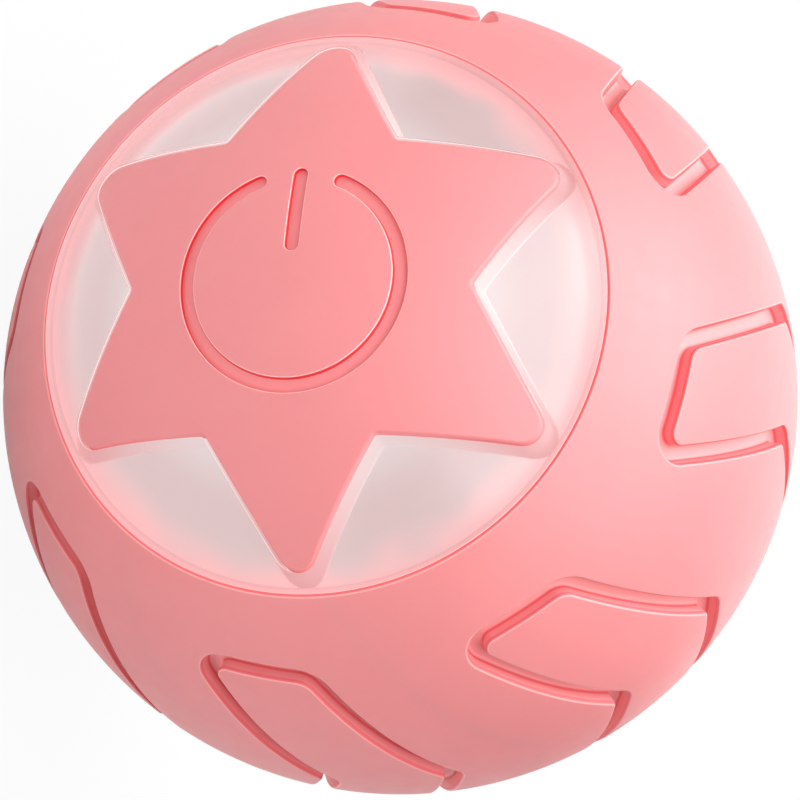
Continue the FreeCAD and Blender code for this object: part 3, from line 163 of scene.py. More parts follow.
class Surface:
    """Faces in millimetres whose corners carry their exact normals."""

    def __init__(self):
        self.points = []
        self.normals = []
        self.quads = []
        self.triangles = []
        self.count = 0

    def row(self, points, normals):
        """Adds corners, and gives their numbers."""
        self.points.append(np.asarray(points, float))
        self.normals.append(np.asarray(normals, float))
        start = self.count
        self.count += len(points)
        return np.arange(start, self.count)

    def skin(self, rows, closed=True):
        """Quads between each two rows of corners."""
        for a, b in zip(rows, rows[1:]):
            a2 = np.roll(a, -1)
            b2 = np.roll(b, -1)
            faces = np.stack([a, a2, b2, b], axis=1)
            self.quads.append(faces if closed else faces[:-1])

    def fill(self, loops, spacing, lift):
        """Triangles over the region that closed loops bound on a chart. lift puts its points in space."""
        edge = np.concatenate(loops)
        low = edge.min(axis=0)
        high = edge.max(axis=0)
        pitch = spacing * math.sqrt(0.75)
        grid = []
        for r in range(int((high[1] - low[1]) / pitch) + 1):
            across = np.arange(low[0] + (r % 2) * spacing / 2, high[0], spacing)
            grid.append(np.stack([across, np.full(len(across), low[1] + r * pitch)], axis=1))
        grid = np.concatenate(grid)
        grid = grid[inside(grid, loops)]
        batches = np.array_split(grid, len(grid) // FILL_BATCH + 1)
        clear = [np.linalg.norm(batch[:, None] - edge[None], axis=2).min(axis=1) for batch in batches]
        chart = np.concatenate([edge, grid[np.concatenate(clear) > EDGE_CLEARANCE * spacing]])
        sides = []
        start = 0
        for loop in loops:
            ids = range(start, start + len(loop))
            sides += list(zip(ids, list(ids[1:]) + [start]))
            start += len(loop)
        made = delaunay_2d_cdt([Vector(p) for p in chart], sides, [], 0, CHART_EPSILON)
        made_faces, made_sources = made[2], made[3]
        source = np.array([ids[0] for ids in made_sources])
        faces = source[np.array(made_faces)]
        faces = faces[inside(chart[faces].mean(axis=1), loops)]
        points, normals = lift(chart)
        self.triangles.append(faces + self.row(points, normals)[0])

    def turned_round(self, count):
        """This surface and its copies at equal turns about the roll axis."""
        whole = Surface()
        points = np.concatenate(self.points)
        normals = np.concatenate(self.normals)
        for i in range(count):
            turn = 2 * math.pi * i / count
            cos, sin = math.cos(turn), math.sin(turn)
            spin = np.array([[cos, 0, -sin], [0, 1, 0], [sin, 0, cos]])
            start = whole.row(points @ spin, normals @ spin)[0]
            whole.quads += [faces + start for faces in self.quads]
            whole.triangles += [faces + start for faces in self.triangles]
        return whole

    def piece(self, name, body, slot, material, *nodes):
        """Makes the Blender object, with corners in one place welded and faces turned outwards."""
        points = np.concatenate(self.points)
        normals = unit(np.concatenate(self.normals))
        keys = np.round(points * WELD_PER_MM + WELD_SHIFT).astype(np.int64)
        first, weld = np.unique(keys, axis=0, return_index=True, return_inverse=True)[1:]
        weld = weld.ravel()
        faces = []
        corners = []
        for group in (self.quads, self.triangles):
            if not group:
                continue
            ids = np.concatenate(group)
            p = points[ids]
            out = np.cross(p[:, 2] - p[:, 0], p[:, -1] - p[:, 1])
            flip = (out * normals[ids].sum(axis=1)).sum(axis=1) < 0
            ids[flip] = ids[flip][:, ::-1]
            for face, welded in zip(ids.tolist(), weld[ids].tolist()):
                kept = [k for k in range(len(face)) if welded[k] != welded[k - 1]]
                if len(kept) > 2:
                    faces.append([welded[k] for k in kept])
                    corners += [face[k] for k in kept]
        mesh = bpy.data.meshes.new(name)
        mesh.from_pydata((points[first] * MM).tolist(), [], faces)
        mesh.shade_smooth()
        mesh.normals_split_custom_set(normals[corners].tolist())
        obj = bpy.data.objects.new(name, mesh)
        bpy.context.scene.collection.objects.link(obj)
        mesh.materials.append(material)
        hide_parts(*nodes)
        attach(obj, body)
        return obj


def quarter_turn(steps):
    """Sine and cosine at equal steps from 0 to 90 degrees."""
    turns = [math.pi / 2 * i / steps for i in range(steps + 1)]
    return [(math.sin(t), math.cos(t)) for t in turns]


# Roundings, as lists of (offset, depth, sideways part of the normal, upward part of the normal)

def lip(radius, steps):
    """From the top face round to the side face."""
    return [(-radius + radius * sin, radius - radius * cos, sin, cos) for sin, cos in quarter_turn(steps)]


def lower_lip(radius, depth):
    """From the side face round to the underside."""
    return [(-radius + radius * cos, depth - radius + radius * sin, cos, -sin)
            for sin, cos in quarter_turn(SMALL_STEPS)]


def shoulder(width, drop, lip_r):
    """From the top face down a slow curve, then round to the side face."""
    lean = math.atan2(2 * drop, width - lip_r)
    end = -lip_r + lip_r * math.sin(lean)
    profile = []
    for i in range(SHOULDER_STEPS):
        share = i / SHOULDER_STEPS
        slope = lean * share
        profile.append((-width + (end + width) * share, drop * share ** 2, math.sin(slope), math.cos(slope)))
    for i in range(FOOT_STEPS + 1):
        t = lean + (math.pi / 2 - lean) * i / FOOT_STEPS
        profile.append((-lip_r + lip_r * math.sin(t), drop + lip_r * (math.cos(lean) - math.cos(t)),
                        math.sin(t), math.cos(t)))
    return profile


def groove_side(half, depth, lip_r, foot_r):
    """From the top face over the lip, down the wall and round to the floor."""
    side = [(half - o, d, -s, u) for o, d, s, u in lip(lip_r, LIP_STEPS)]
    for sin, cos in quarter_turn(FOOT_STEPS):
        side.append((half - foot_r + foot_r * cos, depth - foot_r + foot_r * sin, -cos, sin))
    return side


# The tread cover

def on_ball(from_pole, longitude):
    """Unit vectors at angles from the star's pole, and round the roll axis from the symbol's bar."""
    p = np.radians(from_pole)
    q = np.radians(longitude)
    return np.stack([-np.sin(p) * np.cos(q), -np.cos(p) + 0 * q, np.sin(p) * np.sin(q)], axis=-1)


def turned(v, axis, angle):
    """A vector turned about a unit axis."""
    return (v * math.cos(angle) + np.cross(axis, v) * math.sin(angle)
            + axis * np.dot(axis, v) * (1 - math.cos(angle)))


def groove_path():
    """Stations along the first groove's centreline: unit vectors, and unit vectors to one side."""
    span = TREAD_HALF_SPAN
    front = TREAD_FIRST + TREAD_FRONT_Q
    back = TREAD_FIRST + TREAD_BACK_Q
    heel = front + TREAD_LEAN_A * span
    toe = back + TREAD_LEAN_B * span
    corners = [
        (on_ball(90.0, front), TREAD_MID_R),
        (on_ball(90.0 - span, heel), TREAD_HEEL_R),
        (on_ball(90.0 - span, toe), TREAD_TOE_R),
        (on_ball(90.0, back), TREAD_MID_R),
        (on_ball(90.0 + span, toe), TREAD_TOE_R),
        (on_ball(90.0 + span, heel), TREAD_HEEL_R),
    ]
    arcs = []
    for i, (corner, radius) in enumerate(corners):
        before = corners[i - 1][0]
        after = corners[(i + 1) % len(corners)][0]
        n1 = unit(np.cross(before, corner))
        n2 = unit(np.cross(corner, after))
        turn = 1.0 if np.dot(np.cross(n1, n2), corner) > 0 else -1.0
        flat = (n1 + n2) * turn * math.sin(radius / BALL_R) / (1.0 + np.dot(n1, n2))
        centre = flat + unit(np.cross(n1, n2)) * turn * math.sqrt(1.0 - np.dot(flat, flat))
        start = unit(centre - n1 * np.dot(centre, n1))
        end = unit(centre - n2 * np.dot(centre, n2))
        arcs.append((centre * turn, start, end))
    runs = []
    for i, (axis, start, end) in enumerate(arcs):
        runs.append((axis, start, end, math.radians(ARC_STEP_DEG)))
        following = arcs[(i + 1) % len(arcs)][1]
        runs.append((unit(np.cross(end, following)), end, following, math.radians(RUN_STEP_DEG)))
    stations = []
    sides = []
    for axis, start, end, step in runs:
        a = start - axis * np.dot(start, axis)
        b = end - axis * np.dot(end, axis)
        angle = math.acos(max(-1.0, min(1.0, np.dot(unit(a), unit(b)))))
        count = max(2, math.ceil(angle / step))
        for i in range(count):
            c = turned(start, axis, angle * i / count)
            stations.append(c)
            sides.append(unit(np.cross(c, np.cross(axis, c))))
    return np.array(stations), np.array(sides)


# The cover is charted by longitude and latitude. The squeeze makes the chart true to scale at this latitude
CHART_LATITUDE = 30.0
CHART_SQUEEZE = math.cos(math.radians(CHART_LATITUDE))


def to_chart(points):
    n = unit(points)
    lat = np.arcsin(n[:, 1])
    q = np.arctan2(n[:, 2], -n[:, 0])
    return np.stack([q * CHART_SQUEEZE, lat], axis=1) * BALL_R


def from_chart(chart):
    n = on_ball(90.0 + np.degrees(chart[:, 1] / BALL_R), np.degrees(chart[:, 0] / BALL_R / CHART_SQUEEZE))
    return n * BALL_R, n


def make_cover(material):
    sector = Surface()
    stations, sides = groove_path()
    side = groove_side(GROOVE_HALF, GROOVE_DEPTH, GROOVE_LIP, GROOVE_FOOT)
    profile = side + [(-d, depth, -s, u) for d, depth, s, u in reversed(side)]
    rows = []
    loops = []
    for d, depth, s, u in profile:
        out = math.cos(d / BALL_R) * stations + math.sin(d / BALL_R) * sides
        across = math.cos(d / BALL_R) * sides - math.sin(d / BALL_R) * stations
        rows.append(sector.row(out * (BALL_R - depth), out * u + across * s))
        loops.append(to_chart(out))
    sector.skin(rows)
    outer, inner = sorted((loops[0], loops[-1]), key=lambda loop: -loop[:, 1].max())
    sector.fill([inner], FACE_SPACING, from_chart)

    # The sector's border runs midway between this groove and the next ones
    span = 360.0 / TREADS
    rim_lat = 90.0 - RIM_POLAR - math.degrees(RIM_FILLET / BALL_R)
    lean = (TREAD_LEAN_A + TREAD_LEAN_B) / 2.0
    start_q = TREAD_FIRST + (TREAD_FRONT_Q + TREAD_BACK_Q - span) / 2.0
    lats = np.linspace(-rim_lat, rim_lat, BORDER_POINTS)
    left = np.stack([start_q + lean * np.abs(lats), lats], axis=1)
    columns = left[-1, 0] + np.linspace(0.0, span, RIM_COLUMNS)
    top = np.stack([columns, np.full(len(columns), rim_lat)], axis=1)
    border = np.concatenate([left[:-1], top[:-1], (left + (span, 0))[:0:-1], (top * (1, -1))[:0:-1]])
    border = np.radians(border) * (CHART_SQUEEZE, 1) * BALL_R
    sector.fill([border, outer], FACE_SPACING, from_chart)

    # Rim, the pocket for the lens's flange, and the inner face: radius, latitude, and the normal's two parts
    edge_lat = 90.0 - RIM_POLAR
    pocket_r = FLANGE_R + FLANGE_GAP
    pocket_lat = 90.0 - FLANGE_POLAR - math.degrees(FLANGE_GAP / HARD_R)
    inner_r = HARD_R + SKIN_GAP
    rim = lip(RIM_FILLET, RIM_STEPS)
    edge = [[(BALL_R - d, edge_lat + math.degrees(o / BALL_R), u, s) for o, d, s, u in rim]]
    edge.append([(BALL_R - RIM_FILLET, edge_lat, 0, 1), (pocket_r, edge_lat, 0, 1)])
    edge.append([(pocket_r, edge_lat, -1, 0), (pocket_r, pocket_lat, -1, 0)])
    edge.append([(pocket_r, pocket_lat, 0, 1), (inner_r, pocket_lat, 0, 1)])
    parts = edge + [[(inner_r, lat, -1, 0) for lat in np.linspace(pocket_lat, -pocket_lat, INNER_ROWS)]]
    parts += [[(r, -lat, u, -s) for r, lat, u, s in part] for part in edge]
    for part in parts:
        rows = []
        for r, lat, u, s in part:
            out = on_ball(90.0 + lat, columns)
            north = on_ball(180.0 + lat, columns)
            rows.append(sector.row(out * r, out * u + north * s))
        sector.skin(rows, closed=False)
    cover = sector.turned_round(TREADS)
    return cover.piece("tread_cover_skin", "shell", "cover_silicone", material, "tread_cover")


# The star, its symbol and the lenses are drawn in the plane square to the roll axis:
# u to the symbol's right, v along its bar

def star_outline(grow):
    """Points and outward normals of the star's outline, grown by that much, and always as many."""
    step = math.pi / STAR_POINTS
    half_tip = math.atan2(STAR_INNER_R * math.sin(step), STAR_APEX_R - STAR_INNER_R * math.cos(step))
    opening = step + half_tip
    tip_r = STAR_TIP_FILLET + grow
    inner_r = STAR_INNER_FILLET - grow
    tip_c = STAR_APEX_R + (grow - tip_r) / math.sin(half_tip)
    inner_c = STAR_INNER_R + (grow + inner_r) / math.sin(opening)
    points = []
    normals = []
    for i in range(STAR_POINTS):
        for turn, centre, radius, bend, count in (
                (2 * step * i, tip_c, tip_r, math.pi / 2 - half_tip, TIP_STEPS),
                (2 * step * i + step, inner_c, -inner_r, -(math.pi / 2 - opening), CORNER_STEPS)):
            ways = np.array([[math.sin(b), math.cos(b)] for b in np.linspace(-bend, bend, count + 1)])
            spin = np.array([[math.cos(turn), -math.sin(turn)], [math.sin(turn), math.cos(turn)]])
            points.append((ways * radius + (0, centre)) @ spin)
            normals.append(ways @ spin)
    loop = []
    around = []
    shares = np.linspace(0, 1, STAR_EDGE_STEPS + 1)[1:-1, None]
    for i in range(len(points)):
        after = points[(i + 1) % len(points)][0]
        loop += [points[i], points[i][-1] * (1 - shares) + after * shares]
        around += [normals[i], np.repeat(normals[i][-1:], len(shares), axis=0)]
    return np.concatenate(loop), np.concatenate(around)


def circle(radius, count=CIRCLE_POINTS):
    """Points of a circle and their outward normals."""
    turn = 2 * math.pi * np.arange(count)[:, None] / count
    ways = np.concatenate([np.sin(turn), np.cos(turn)], axis=1)
    return ways * radius, ways


def symbol_lines():
    """Centre points and outward directions round the symbol's ring and its bar."""
    gap = math.radians(SYMBOL_GAP_HALF)
    turns = np.linspace(gap, 2 * math.pi - gap, RING_POINTS)
    arc = np.stack([np.sin(turns), np.cos(turns)], axis=1)
    cap = np.linspace(0, math.pi, CAP_STEPS + 1)[1:-1, None]

    def repeated(row, like):
        return np.repeat(row[None], len(like), axis=0)

    def swing(start, forward):
        return start * np.cos(cap) + forward * np.sin(cap)

    ahead = np.array([math.cos(turns[-1]), -math.sin(turns[-1])])
    behind = -np.array([math.cos(turns[0]), -math.sin(turns[0])])
    rings = [(arc * SYMBOL_RING_R, arc),
             (repeated(arc[-1] * SYMBOL_RING_R, cap), swing(arc[-1], ahead)),
             (arc[::-1] * SYMBOL_RING_R, -arc[::-1]),
             (repeated(arc[0] * SYMBOL_RING_R, cap), swing(-arc[0], behind))]
    along = np.linspace(SYMBOL_BAR_IN, SYMBOL_BAR_OUT, BAR_POINTS)
    bar = np.stack([0 * along, along], axis=1)
    right = np.array([1.0, 0.0])
    up = np.array([0.0, 1.0])
    bars = [(bar[::-1], repeated(right, bar)),
            (repeated(bar[0], cap), swing(right, -up)),
            (bar, repeated(-right, bar)),
            (repeated(bar[-1], cap), swing(-right, up))]
    return [tuple(np.concatenate(parts) for parts in zip(*line)) for line in (rings, bars)]


def on_face(chart, radius, end):
    """Points and normals over the chart on a sphere, at the front (end -1) or the rear (end 1)."""
    y = end * np.sqrt(radius ** 2 - (chart ** 2).sum(axis=1))
    points = np.stack([-chart[:, 1], y, chart[:, 0]], axis=1)
    return points, points / radius


def plan_normal(ways):
    """Directions in the plane of u and v, as directions in space."""
    return np.stack([-ways[:, 1], 0 * ways[:, 0], ways[:, 0]], axis=1)


def edge_rows(surface, outline, profile, end, facing=1):
    """Rows of corners over a profile that follows an outline. facing is -1 where the outline is a hole."""
    rows = []
    for offset, depth, s, u in profile:
        chart, ways = outline(facing * offset)
        points, out = on_face(chart, BALL_R - depth, end)
        rows.append(surface.row(points, out * u + plan_normal(ways) * s * facing))
    return rows


def lathe(surface, profile):
    """Sharp-edged turned faces about the roll axis, through (radius, y) points."""
    around = plan_normal(circle(1.0, STEM_SIDES)[1])
    for (r0, y0), (r1, y1) in zip(profile, profile[1:]):
        normal = around * (y1 - y0) + np.array([0.0, r0 - r1, 0.0])
        rows = [surface.row(around * r + np.array([0.0, y, 0.0]), normal) for r, y in ((r0, y0), (r1, y1))]
        surface.skin(rows)


def make_star(material):
    star = Surface()
    profile = lip(STAR_LIP, LIP_STEPS) + lower_lip(SMALL_LIP, STAR_T)
    star.skin(edge_rows(star, star_outline, profile, -1))
    loops = [star_outline(-STAR_LIP)[0]]
    side = groove_side(SYMBOL_HALF, SYMBOL_DEPTH, SYMBOL_LIP, SYMBOL_FOOT)
    for centres, ways in symbol_lines():
        def outline(offset):
            return centres + ways * offset, ways

        star.skin(edge_rows(star, outline, side, -1))
        loops.append(outline(side[0][0])[0])
        floor = outline(side[-1][0])[0]
        star.fill([floor], SYMBOL_FLOOR_SPACING, lambda chart: on_face(chart, BALL_R - SYMBOL_DEPTH, -1))
    star.fill(loops, FACE_SPACING, lambda chart: on_face(chart, BALL_R, -1))

    def under(chart):
        points, out = on_face(chart, BALL_R - STAR_T, -1)
        return points, -out

    stem_root = circle(STEM_COLLAR_R, STEM_SIDES)[0]
    star.fill([star_outline(-SMALL_LIP)[0], stem_root], STAR_UNDER_SPACING, under)
    root_y = on_face(stem_root[:1], BALL_R - STAR_T, -1)[0][0, 1]
    lathe(star, [(STEM_COLLAR_R, root_y), (STEM_COLLAR_R, STEM_COLLAR_Y), (STEM_R, STEM_COLLAR_Y),
                 (STEM_R, CLIP_GROOVE_Y0), (CLIP_GROOVE_R, CLIP_GROOVE_Y0), (CLIP_GROOVE_R, CLIP_GROOVE_Y1),
                 (STEM_R, CLIP_GROOVE_Y1), (STEM_R, STEM_TIP_Y), (0.0, STEM_TIP_Y)])
    return star.piece("star_button_plate", "button", "star_plastic", material, "star_button")


def make_lens(name, node, hole, end, material):
    """A lens ring. end is as in on_face, and hole gives the opening's outline, grown by an offset."""
    lens = Surface()
    inner_r = HARD_R + SKIN_GAP
    profile = lip(LENS_LIP, RIM_STEPS) + lower_lip(SMALL_LIP, BALL_R - inner_r)
    lens.skin(edge_rows(lens, hole, profile, end, facing=-1))

    polar = math.radians(RIM_POLAR) - LENS_GAP / BALL_R
    flange = math.radians(FLANGE_POLAR)
    ways = circle(1.0)[1]
    top = shoulder(LENS_SHOULDER_W, LENS_SHOULDER_DROP, LENS_LIP)
    edge = [[(BALL_R - d, polar + o / BALL_R, u, s) for o, d, s, u in top]]
    edge[0].append((FLANGE_R, polar, 0, 1))
    edge.append([(FLANGE_R, polar, 1, 0), (FLANGE_R, flange, 1, 0)])
    edge.append([(FLANGE_R, flange, 0, 1), (inner_r, flange, 0, 1)])
    away = plan_normal(ways)
    pole = np.array([0.0, float(end), 0.0])
    for part in edge:
        rows = []
        for r, p, u, s in part:
            out = away * math.sin(p) + pole * math.cos(p)
            south = away * math.cos(p) - pole * math.sin(p)
            rows.append(lens.row(out * r, out * u + south * s))
        lens.skin(rows)

    rim = ways * BALL_R * math.sin(polar - LENS_SHOULDER_W / BALL_R)
    lens.fill([rim, hole(LENS_LIP)[0]], FACE_SPACING, lambda chart: on_face(chart, BALL_R, end))

    def inner_face(chart):
        points, out = on_face(chart, inner_r, end)
        return points, -out

    lens.fill([ways * inner_r * math.sin(flange), hole(SMALL_LIP)[0]], LENS_UNDER_SPACING, inner_face)
    return lens.piece(name, "shell", "clear_plastic", material, node)


def make_spring(material):
    """The button's return spring as in the CAD."""
    node = frame["nodes"]["button_spring"]
    spring = bpy.data.objects.new("return_spring", node.data.copy())
    bpy.context.scene.collection.objects.link(spring)
    spring.matrix_world = node.matrix_world
    spring.data.materials.clear()
    spring.data.materials.append(material)
    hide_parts("button_spring")
    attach(spring, "shell")
    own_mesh(spring)


# Materials

BLACK = (0.0, 0.0, 0.0, 1.0)

# The range of a noise's values that the ramps stretch
NOISE_MID = (0.3, 0.7)

# Between these depths in millimetres, a face's colour gives way to the colours of what is sunk in it, which
# carry painted highlights and shade
FACE_FADE = (0.015, 0.004)

# The pink plastics: how far red, green and blue light scatter in them, in millimetres, and their gloss
SCATTER_REACH = (1.0, 0.3, 0.25)
PINK_IOR = 1.5
PINK_SPECULAR = 0.55

# Where the materials change, each as the start and the end of the change in millimetres. Along the roll axis:
PLUG_FROM_Y = (16.0, 17.0)
REAR_FROM_Y = (-1.0, 1.0)
# From the roll axis:
SYMBOL_ENDS = (6.8, 7.2)
# Where the frosted shell's painted highlight fades, and where its painted pink reflection of the cover begins
PAINTED_HIGHLIGHT_HEART = (8.4, 11.5)
PAINTED_PINK_REFLECTION = (12.4, 14.7)
# Where the lens's painted glow turns to pink painted reflections of the cover, towards the star's tips and at
# the rim
LENS_OPENING = (9.5, 13.5)
LENS_RIM = (14.2, 14.8)
# From the ball's centre:
LENS_SIDE_TOP = (BALL_R - 0.055, BALL_R - 0.035)
LENS_SIDE_FOOT = (HARD_R + 0.04, HARD_R + 0.08)
# Where the lens's painted highlight line runs along its lip
LENS_PAINTED_HIGHLIGHT_LINE = (BALL_R - 0.16, BALL_R - 0.08)

# The frosted shell's painted pink reflection wanders by this many millimetres, over this range of its noise
PATCH_SIZE = 0.4
PATCH_NOISE = (0.35, 0.65)

# How strongly the frosted shell and the lens's side faces glow with painted light, though neither is a lamp,
# and what the side faces add to its roughness
FROSTED_GLOW = 0.77
LENS_SIDE_GLOW = 0.9
LENS_SIDE_ROUGH = 0.4

# What the lens lets through of the lamps' light
LENS_SHADOW = (0.97, 0.96, 0.96, 1.0)


def rgb(r, g, b):
    """A colour from its sRGB values, 0 to 255."""
    shares = (r / 255, g / 255, b / 255)
    return tuple(c / 12.92 if c <= 0.04045 else ((c + 0.055) / 1.055) ** 2.4 for c in shares) + (1.0,)


def grey(level):
    return (level, level, level, 1.0)


class Nodes:
    """Builds one material's node tree."""

    def __init__(self, name):
        self.material = bpy.data.materials.new(name)
        self.material.use_nodes = True
        self.tree = self.material.node_tree
        self.tree.nodes.clear()
        self.output = self.new("ShaderNodeOutputMaterial")
        self.place = self.new("ShaderNodeTexCoord").outputs["Object"]

    def new(self, kind, **settings):
        node = self.tree.nodes.new(kind)
        for key, value in settings.items():
            setattr(node, key, value)
        return node

    def join(self, source, target):
        self.tree.links.new(source, target)

    def feed(self, socket, value):
        if isinstance(value, bpy.types.NodeSocket):
            self.join(value, socket)
        else:
            socket.default_value = value

    def noise(self, scale, detail=3.0, rough=0.5, stretch=None):
        """Noise over the object's own coordinates; scale is in waves per metre."""
        node = self.new("ShaderNodeTexNoise")
        node.inputs["Scale"].default_value = scale
        node.inputs["Detail"].default_value = detail
        node.inputs["Roughness"].default_value = rough
        place = self.place
        if stretch:
            mapping = self.new("ShaderNodeMapping")
            mapping.inputs["Scale"].default_value = stretch
            self.join(place, mapping.inputs["Vector"])
            place = mapping.outputs["Vector"]
        self.join(place, node.inputs["Vector"])
        return node.outputs["Fac"]

    def ramp(self, value, from_low, from_high, to_low, to_high, smooth=False):
        node = self.new("ShaderNodeMapRange", interpolation_type="SMOOTHSTEP" if smooth else "LINEAR")
        keys = ("From Min", "From Max", "To Min", "To Max")
        for key, number in zip(keys, (from_low, from_high, to_low, to_high)):
            node.inputs[key].default_value = number
        self.join(value, node.inputs["Value"])
        return node.outputs["Result"]

    def spread(self, noise, low, high):
        """A noise's middle range, stretched from low to high."""
        return self.ramp(noise, *NOISE_MID, low, high)

    def rise(self, distance, start, end, smooth=False):
        """0 up to start and 1 from end, both in millimetres."""
        return self.ramp(distance, start * MM, end * MM, 0.0, 1.0, smooth)

    def fall(self, distance, start, end, smooth=False):
        """1 up to start and 0 from end, both in millimetres."""
        return self.ramp(distance, start * MM, end * MM, 1.0, 0.0, smooth)

    def math(self, operation, a, b=0.0):
        node = self.new("ShaderNodeMath", operation=operation)
        self.feed(node.inputs[0], a)
        self.feed(node.inputs[1], b)
        return node.outputs[0]

    def blend(self, fac, a, b):
        """Colour a where fac is 0 and b where it is 1."""
        node = self.new("ShaderNodeMix", data_type="RGBA")
        self.feed(node.inputs["Factor"], fac)
        for key, value in (("A", a), ("B", b)):
            socket = [s for s in node.inputs if s.name == key and s.type == "RGBA"][0]
            self.feed(socket, value)
        return [s for s in node.outputs if s.type == "RGBA"][0]

    def radius(self):
        """Distance from the ball's centre."""
        node = self.new("ShaderNodeVectorMath", operation="LENGTH")
        self.join(self.place, node.inputs[0])
        return node.outputs["Value"]

    def off_axis(self):
        """Distance from the roll axis."""
        node = self.new("ShaderNodeVectorMath", operation="MULTIPLY")
        self.join(self.place, node.inputs[0])
        node.inputs[1].default_value = (1.0, 0.0, 1.0)
        length = self.new("ShaderNodeVectorMath", operation="LENGTH")
        self.join(node.outputs[0], length.inputs[0])
        return length.outputs["Value"]

    def along_axis(self):
        """Distance along the roll axis, negative on the star's side."""
        node = self.new("ShaderNodeSeparateXYZ")
        self.join(self.place, node.inputs[0])
        return node.outputs["Y"]

    def sunk(self, face, *stops):
        """The face's colour, and under it the stops' colours, each at its depth in millimetres. The stops
        carry painted highlights and shade.
        """
        deepest = stops[-1][0]
        radius = self.radius()
        node = self.new("ShaderNodeValToRGB")
        self.join(self.fall(radius, BALL_R - deepest, BALL_R), node.inputs["Fac"])
        elements = node.color_ramp.elements
        elements[0].position, elements[0].color = 0.0, stops[0][1]
        elements[1].position, elements[1].color = 1.0, stops[-1][1]
        for depth, colour in stops[1:-1]:
            elements.new(depth / deepest).color = colour
        under = self.fall(radius, *(BALL_R - depth for depth in FACE_FADE))
        return self.blend(under, face, node.outputs["Color"])

    def bump(self, height, strength, distance):
        """A normal from a height of 0 to 1, which stands for that many millimetres."""
        node = self.new("ShaderNodeBump")
        node.inputs["Strength"].default_value = strength
        node.inputs["Distance"].default_value = distance * MM
        self.join(height, node.inputs["Height"])
        return node.outputs["Normal"]

    def shade(self, **values):
        """A Principled shader; underscores stand for spaces in its sockets' names."""
        node = self.new("ShaderNodeBsdfPrincipled")
        for key, value in values.items():
            self.feed(node.inputs[key.replace("_", " ")], value)
        return node.outputs[0]

    def finish(self, shader):
        self.join(shader, self.output.inputs["Surface"])
        return self.material


def pink(n, colour, rough, normal, scatter):
    """The finish that the cover and the star share. scatter is the share of the light that goes into it."""
    return n.finish(n.shade(Base_Color=colour, Roughness=rough, Normal=normal, IOR=PINK_IOR,
                            Specular_IOR_Level=PINK_SPECULAR, Subsurface_Weight=scatter,
                            Subsurface_Radius=SCATTER_REACH, Subsurface_Scale=MM))


def silicone():
    """The tread cover, with light and shade painted into its grooves: a painted highlight on the lips,
    painted red shade below them and at the foot of the walls, and walls and floors painted paler against
    their shade.
    """
    n = Nodes("pink_silicone")
    face = n.blend(n.noise(220.0), rgb(239, 142, 144), rgb(241, 148, 150))
    # Painted highlight on the grooves' lips, painted red shade below the lips and at the walls' foot, and
    # walls and floors painted paler to offset the shade in the grooves
    painted_lip_highlight = rgb(253, 174, 174)
    painted_shade_red = rgb(236, 108, 113)
    painted_light_wall = rgb(247, 158, 161)
    floor = rgb(250, 168, 169)
    # By depth: painted highlight, painted red shade, paler painted walls, painted red shade at the foot,
    # paler painted floor
    colour = n.sunk(face, (0.0, rgb(240, 145, 147)), (0.012, painted_lip_highlight), (0.035, painted_lip_highlight), (0.06, painted_shade_red), (0.16, painted_shade_red),
                    (0.26, painted_light_wall), (0.62, painted_light_wall), (0.7, painted_shade_red), (0.78, painted_shade_red), (0.85, floor), (GROOVE_DEPTH, floor))
    colour = n.blend(n.rise(n.along_axis(), *PLUG_FROM_Y), colour, face)
    rough = n.spread(n.noise(900.0), 0.46, 0.54)
    return pink(n, colour, rough, n.bump(n.noise(9000.0, 2.0), 0.12, 0.04), scatter=0.2)


def star_plastic():
    """The star and the hub cap: painted red shade down the power symbol's walls and a painted highlight on
    its lips, and elsewhere the face's colour.
    """
    n = Nodes("pink_star_plastic")
    face = n.blend(n.noise(180.0), rgb(236, 141, 144), rgb(238, 147, 149))
    # Painted highlight on the symbol's lips, and painted red shade down its walls to the floor
    painted_lip_highlight = rgb(253, 204, 202)
    painted_shade_red = rgb(240, 48, 56)
    colour = n.sunk(face, (0.0, rgb(237, 144, 146)), (0.01, painted_lip_highlight), (0.03, painted_lip_highlight), (0.055, rgb(240, 84, 90)),
                    (0.15, painted_shade_red), (0.285, painted_shade_red), (0.298, rgb(245, 142, 145)),
                    (SYMBOL_DEPTH, rgb(245, 146, 149)))
    plain = n.math("MAXIMUM", n.rise(n.off_axis(), *SYMBOL_ENDS), n.rise(n.along_axis(), *REAR_FROM_Y))
    colour = n.blend(plain, colour, face)
    rough = n.spread(n.noise(700.0), 0.44, 0.52)
    return pink(n, colour, rough, n.bump(n.noise(7000.0, 2.0), 0.1, 0.04), scatter=0.25)


def frosted():
    """The hard shell, with a painted glow though it is no lamp: a painted highlight whitest at the star's
    inner corners, and a painted pink reflection of the cover towards its edge.
    """
    n = Nodes("frosted_shell")
    off_axis = n.off_axis()
    # The pink towards the cover, with its wandering blotches, is a painted reflection of the cover
    patches = n.ramp(n.noise(260.0, 1.0), *PATCH_NOISE, -PATCH_SIZE * MM, PATCH_SIZE * MM)
    edge = n.rise(n.math("ADD", off_axis, patches), *PAINTED_PINK_REFLECTION, smooth=True)
    painted_highlight_heart = n.fall(off_axis, *PAINTED_HIGHLIGHT_HEART, smooth=True)
    milky = n.blend(n.noise(150.0), rgb(70, 64, 64), rgb(75, 69, 69))
    colour = n.blend(edge, milky, rgb(150, 106, 107))
    # Painted glow, no lamp: a white painted highlight at the heart and a pink painted reflection at the edge
    painted_glow = n.blend(edge, n.blend(painted_highlight_heart, rgb(242, 217, 217), rgb(255, 244, 244)), rgb(255, 204, 205))
    rough = n.spread(n.noise(1200.0), 0.5, 0.62)
    normal = n.bump(n.noise(6000.0, 3.0), 0.2, 0.05)
    return n.finish(n.shade(Base_Color=colour, Roughness=rough, Normal=normal, IOR=1.5,
                            Specular_IOR_Level=0.12, Emission_Color=painted_glow, Emission_Strength=FROSTED_GLOW))


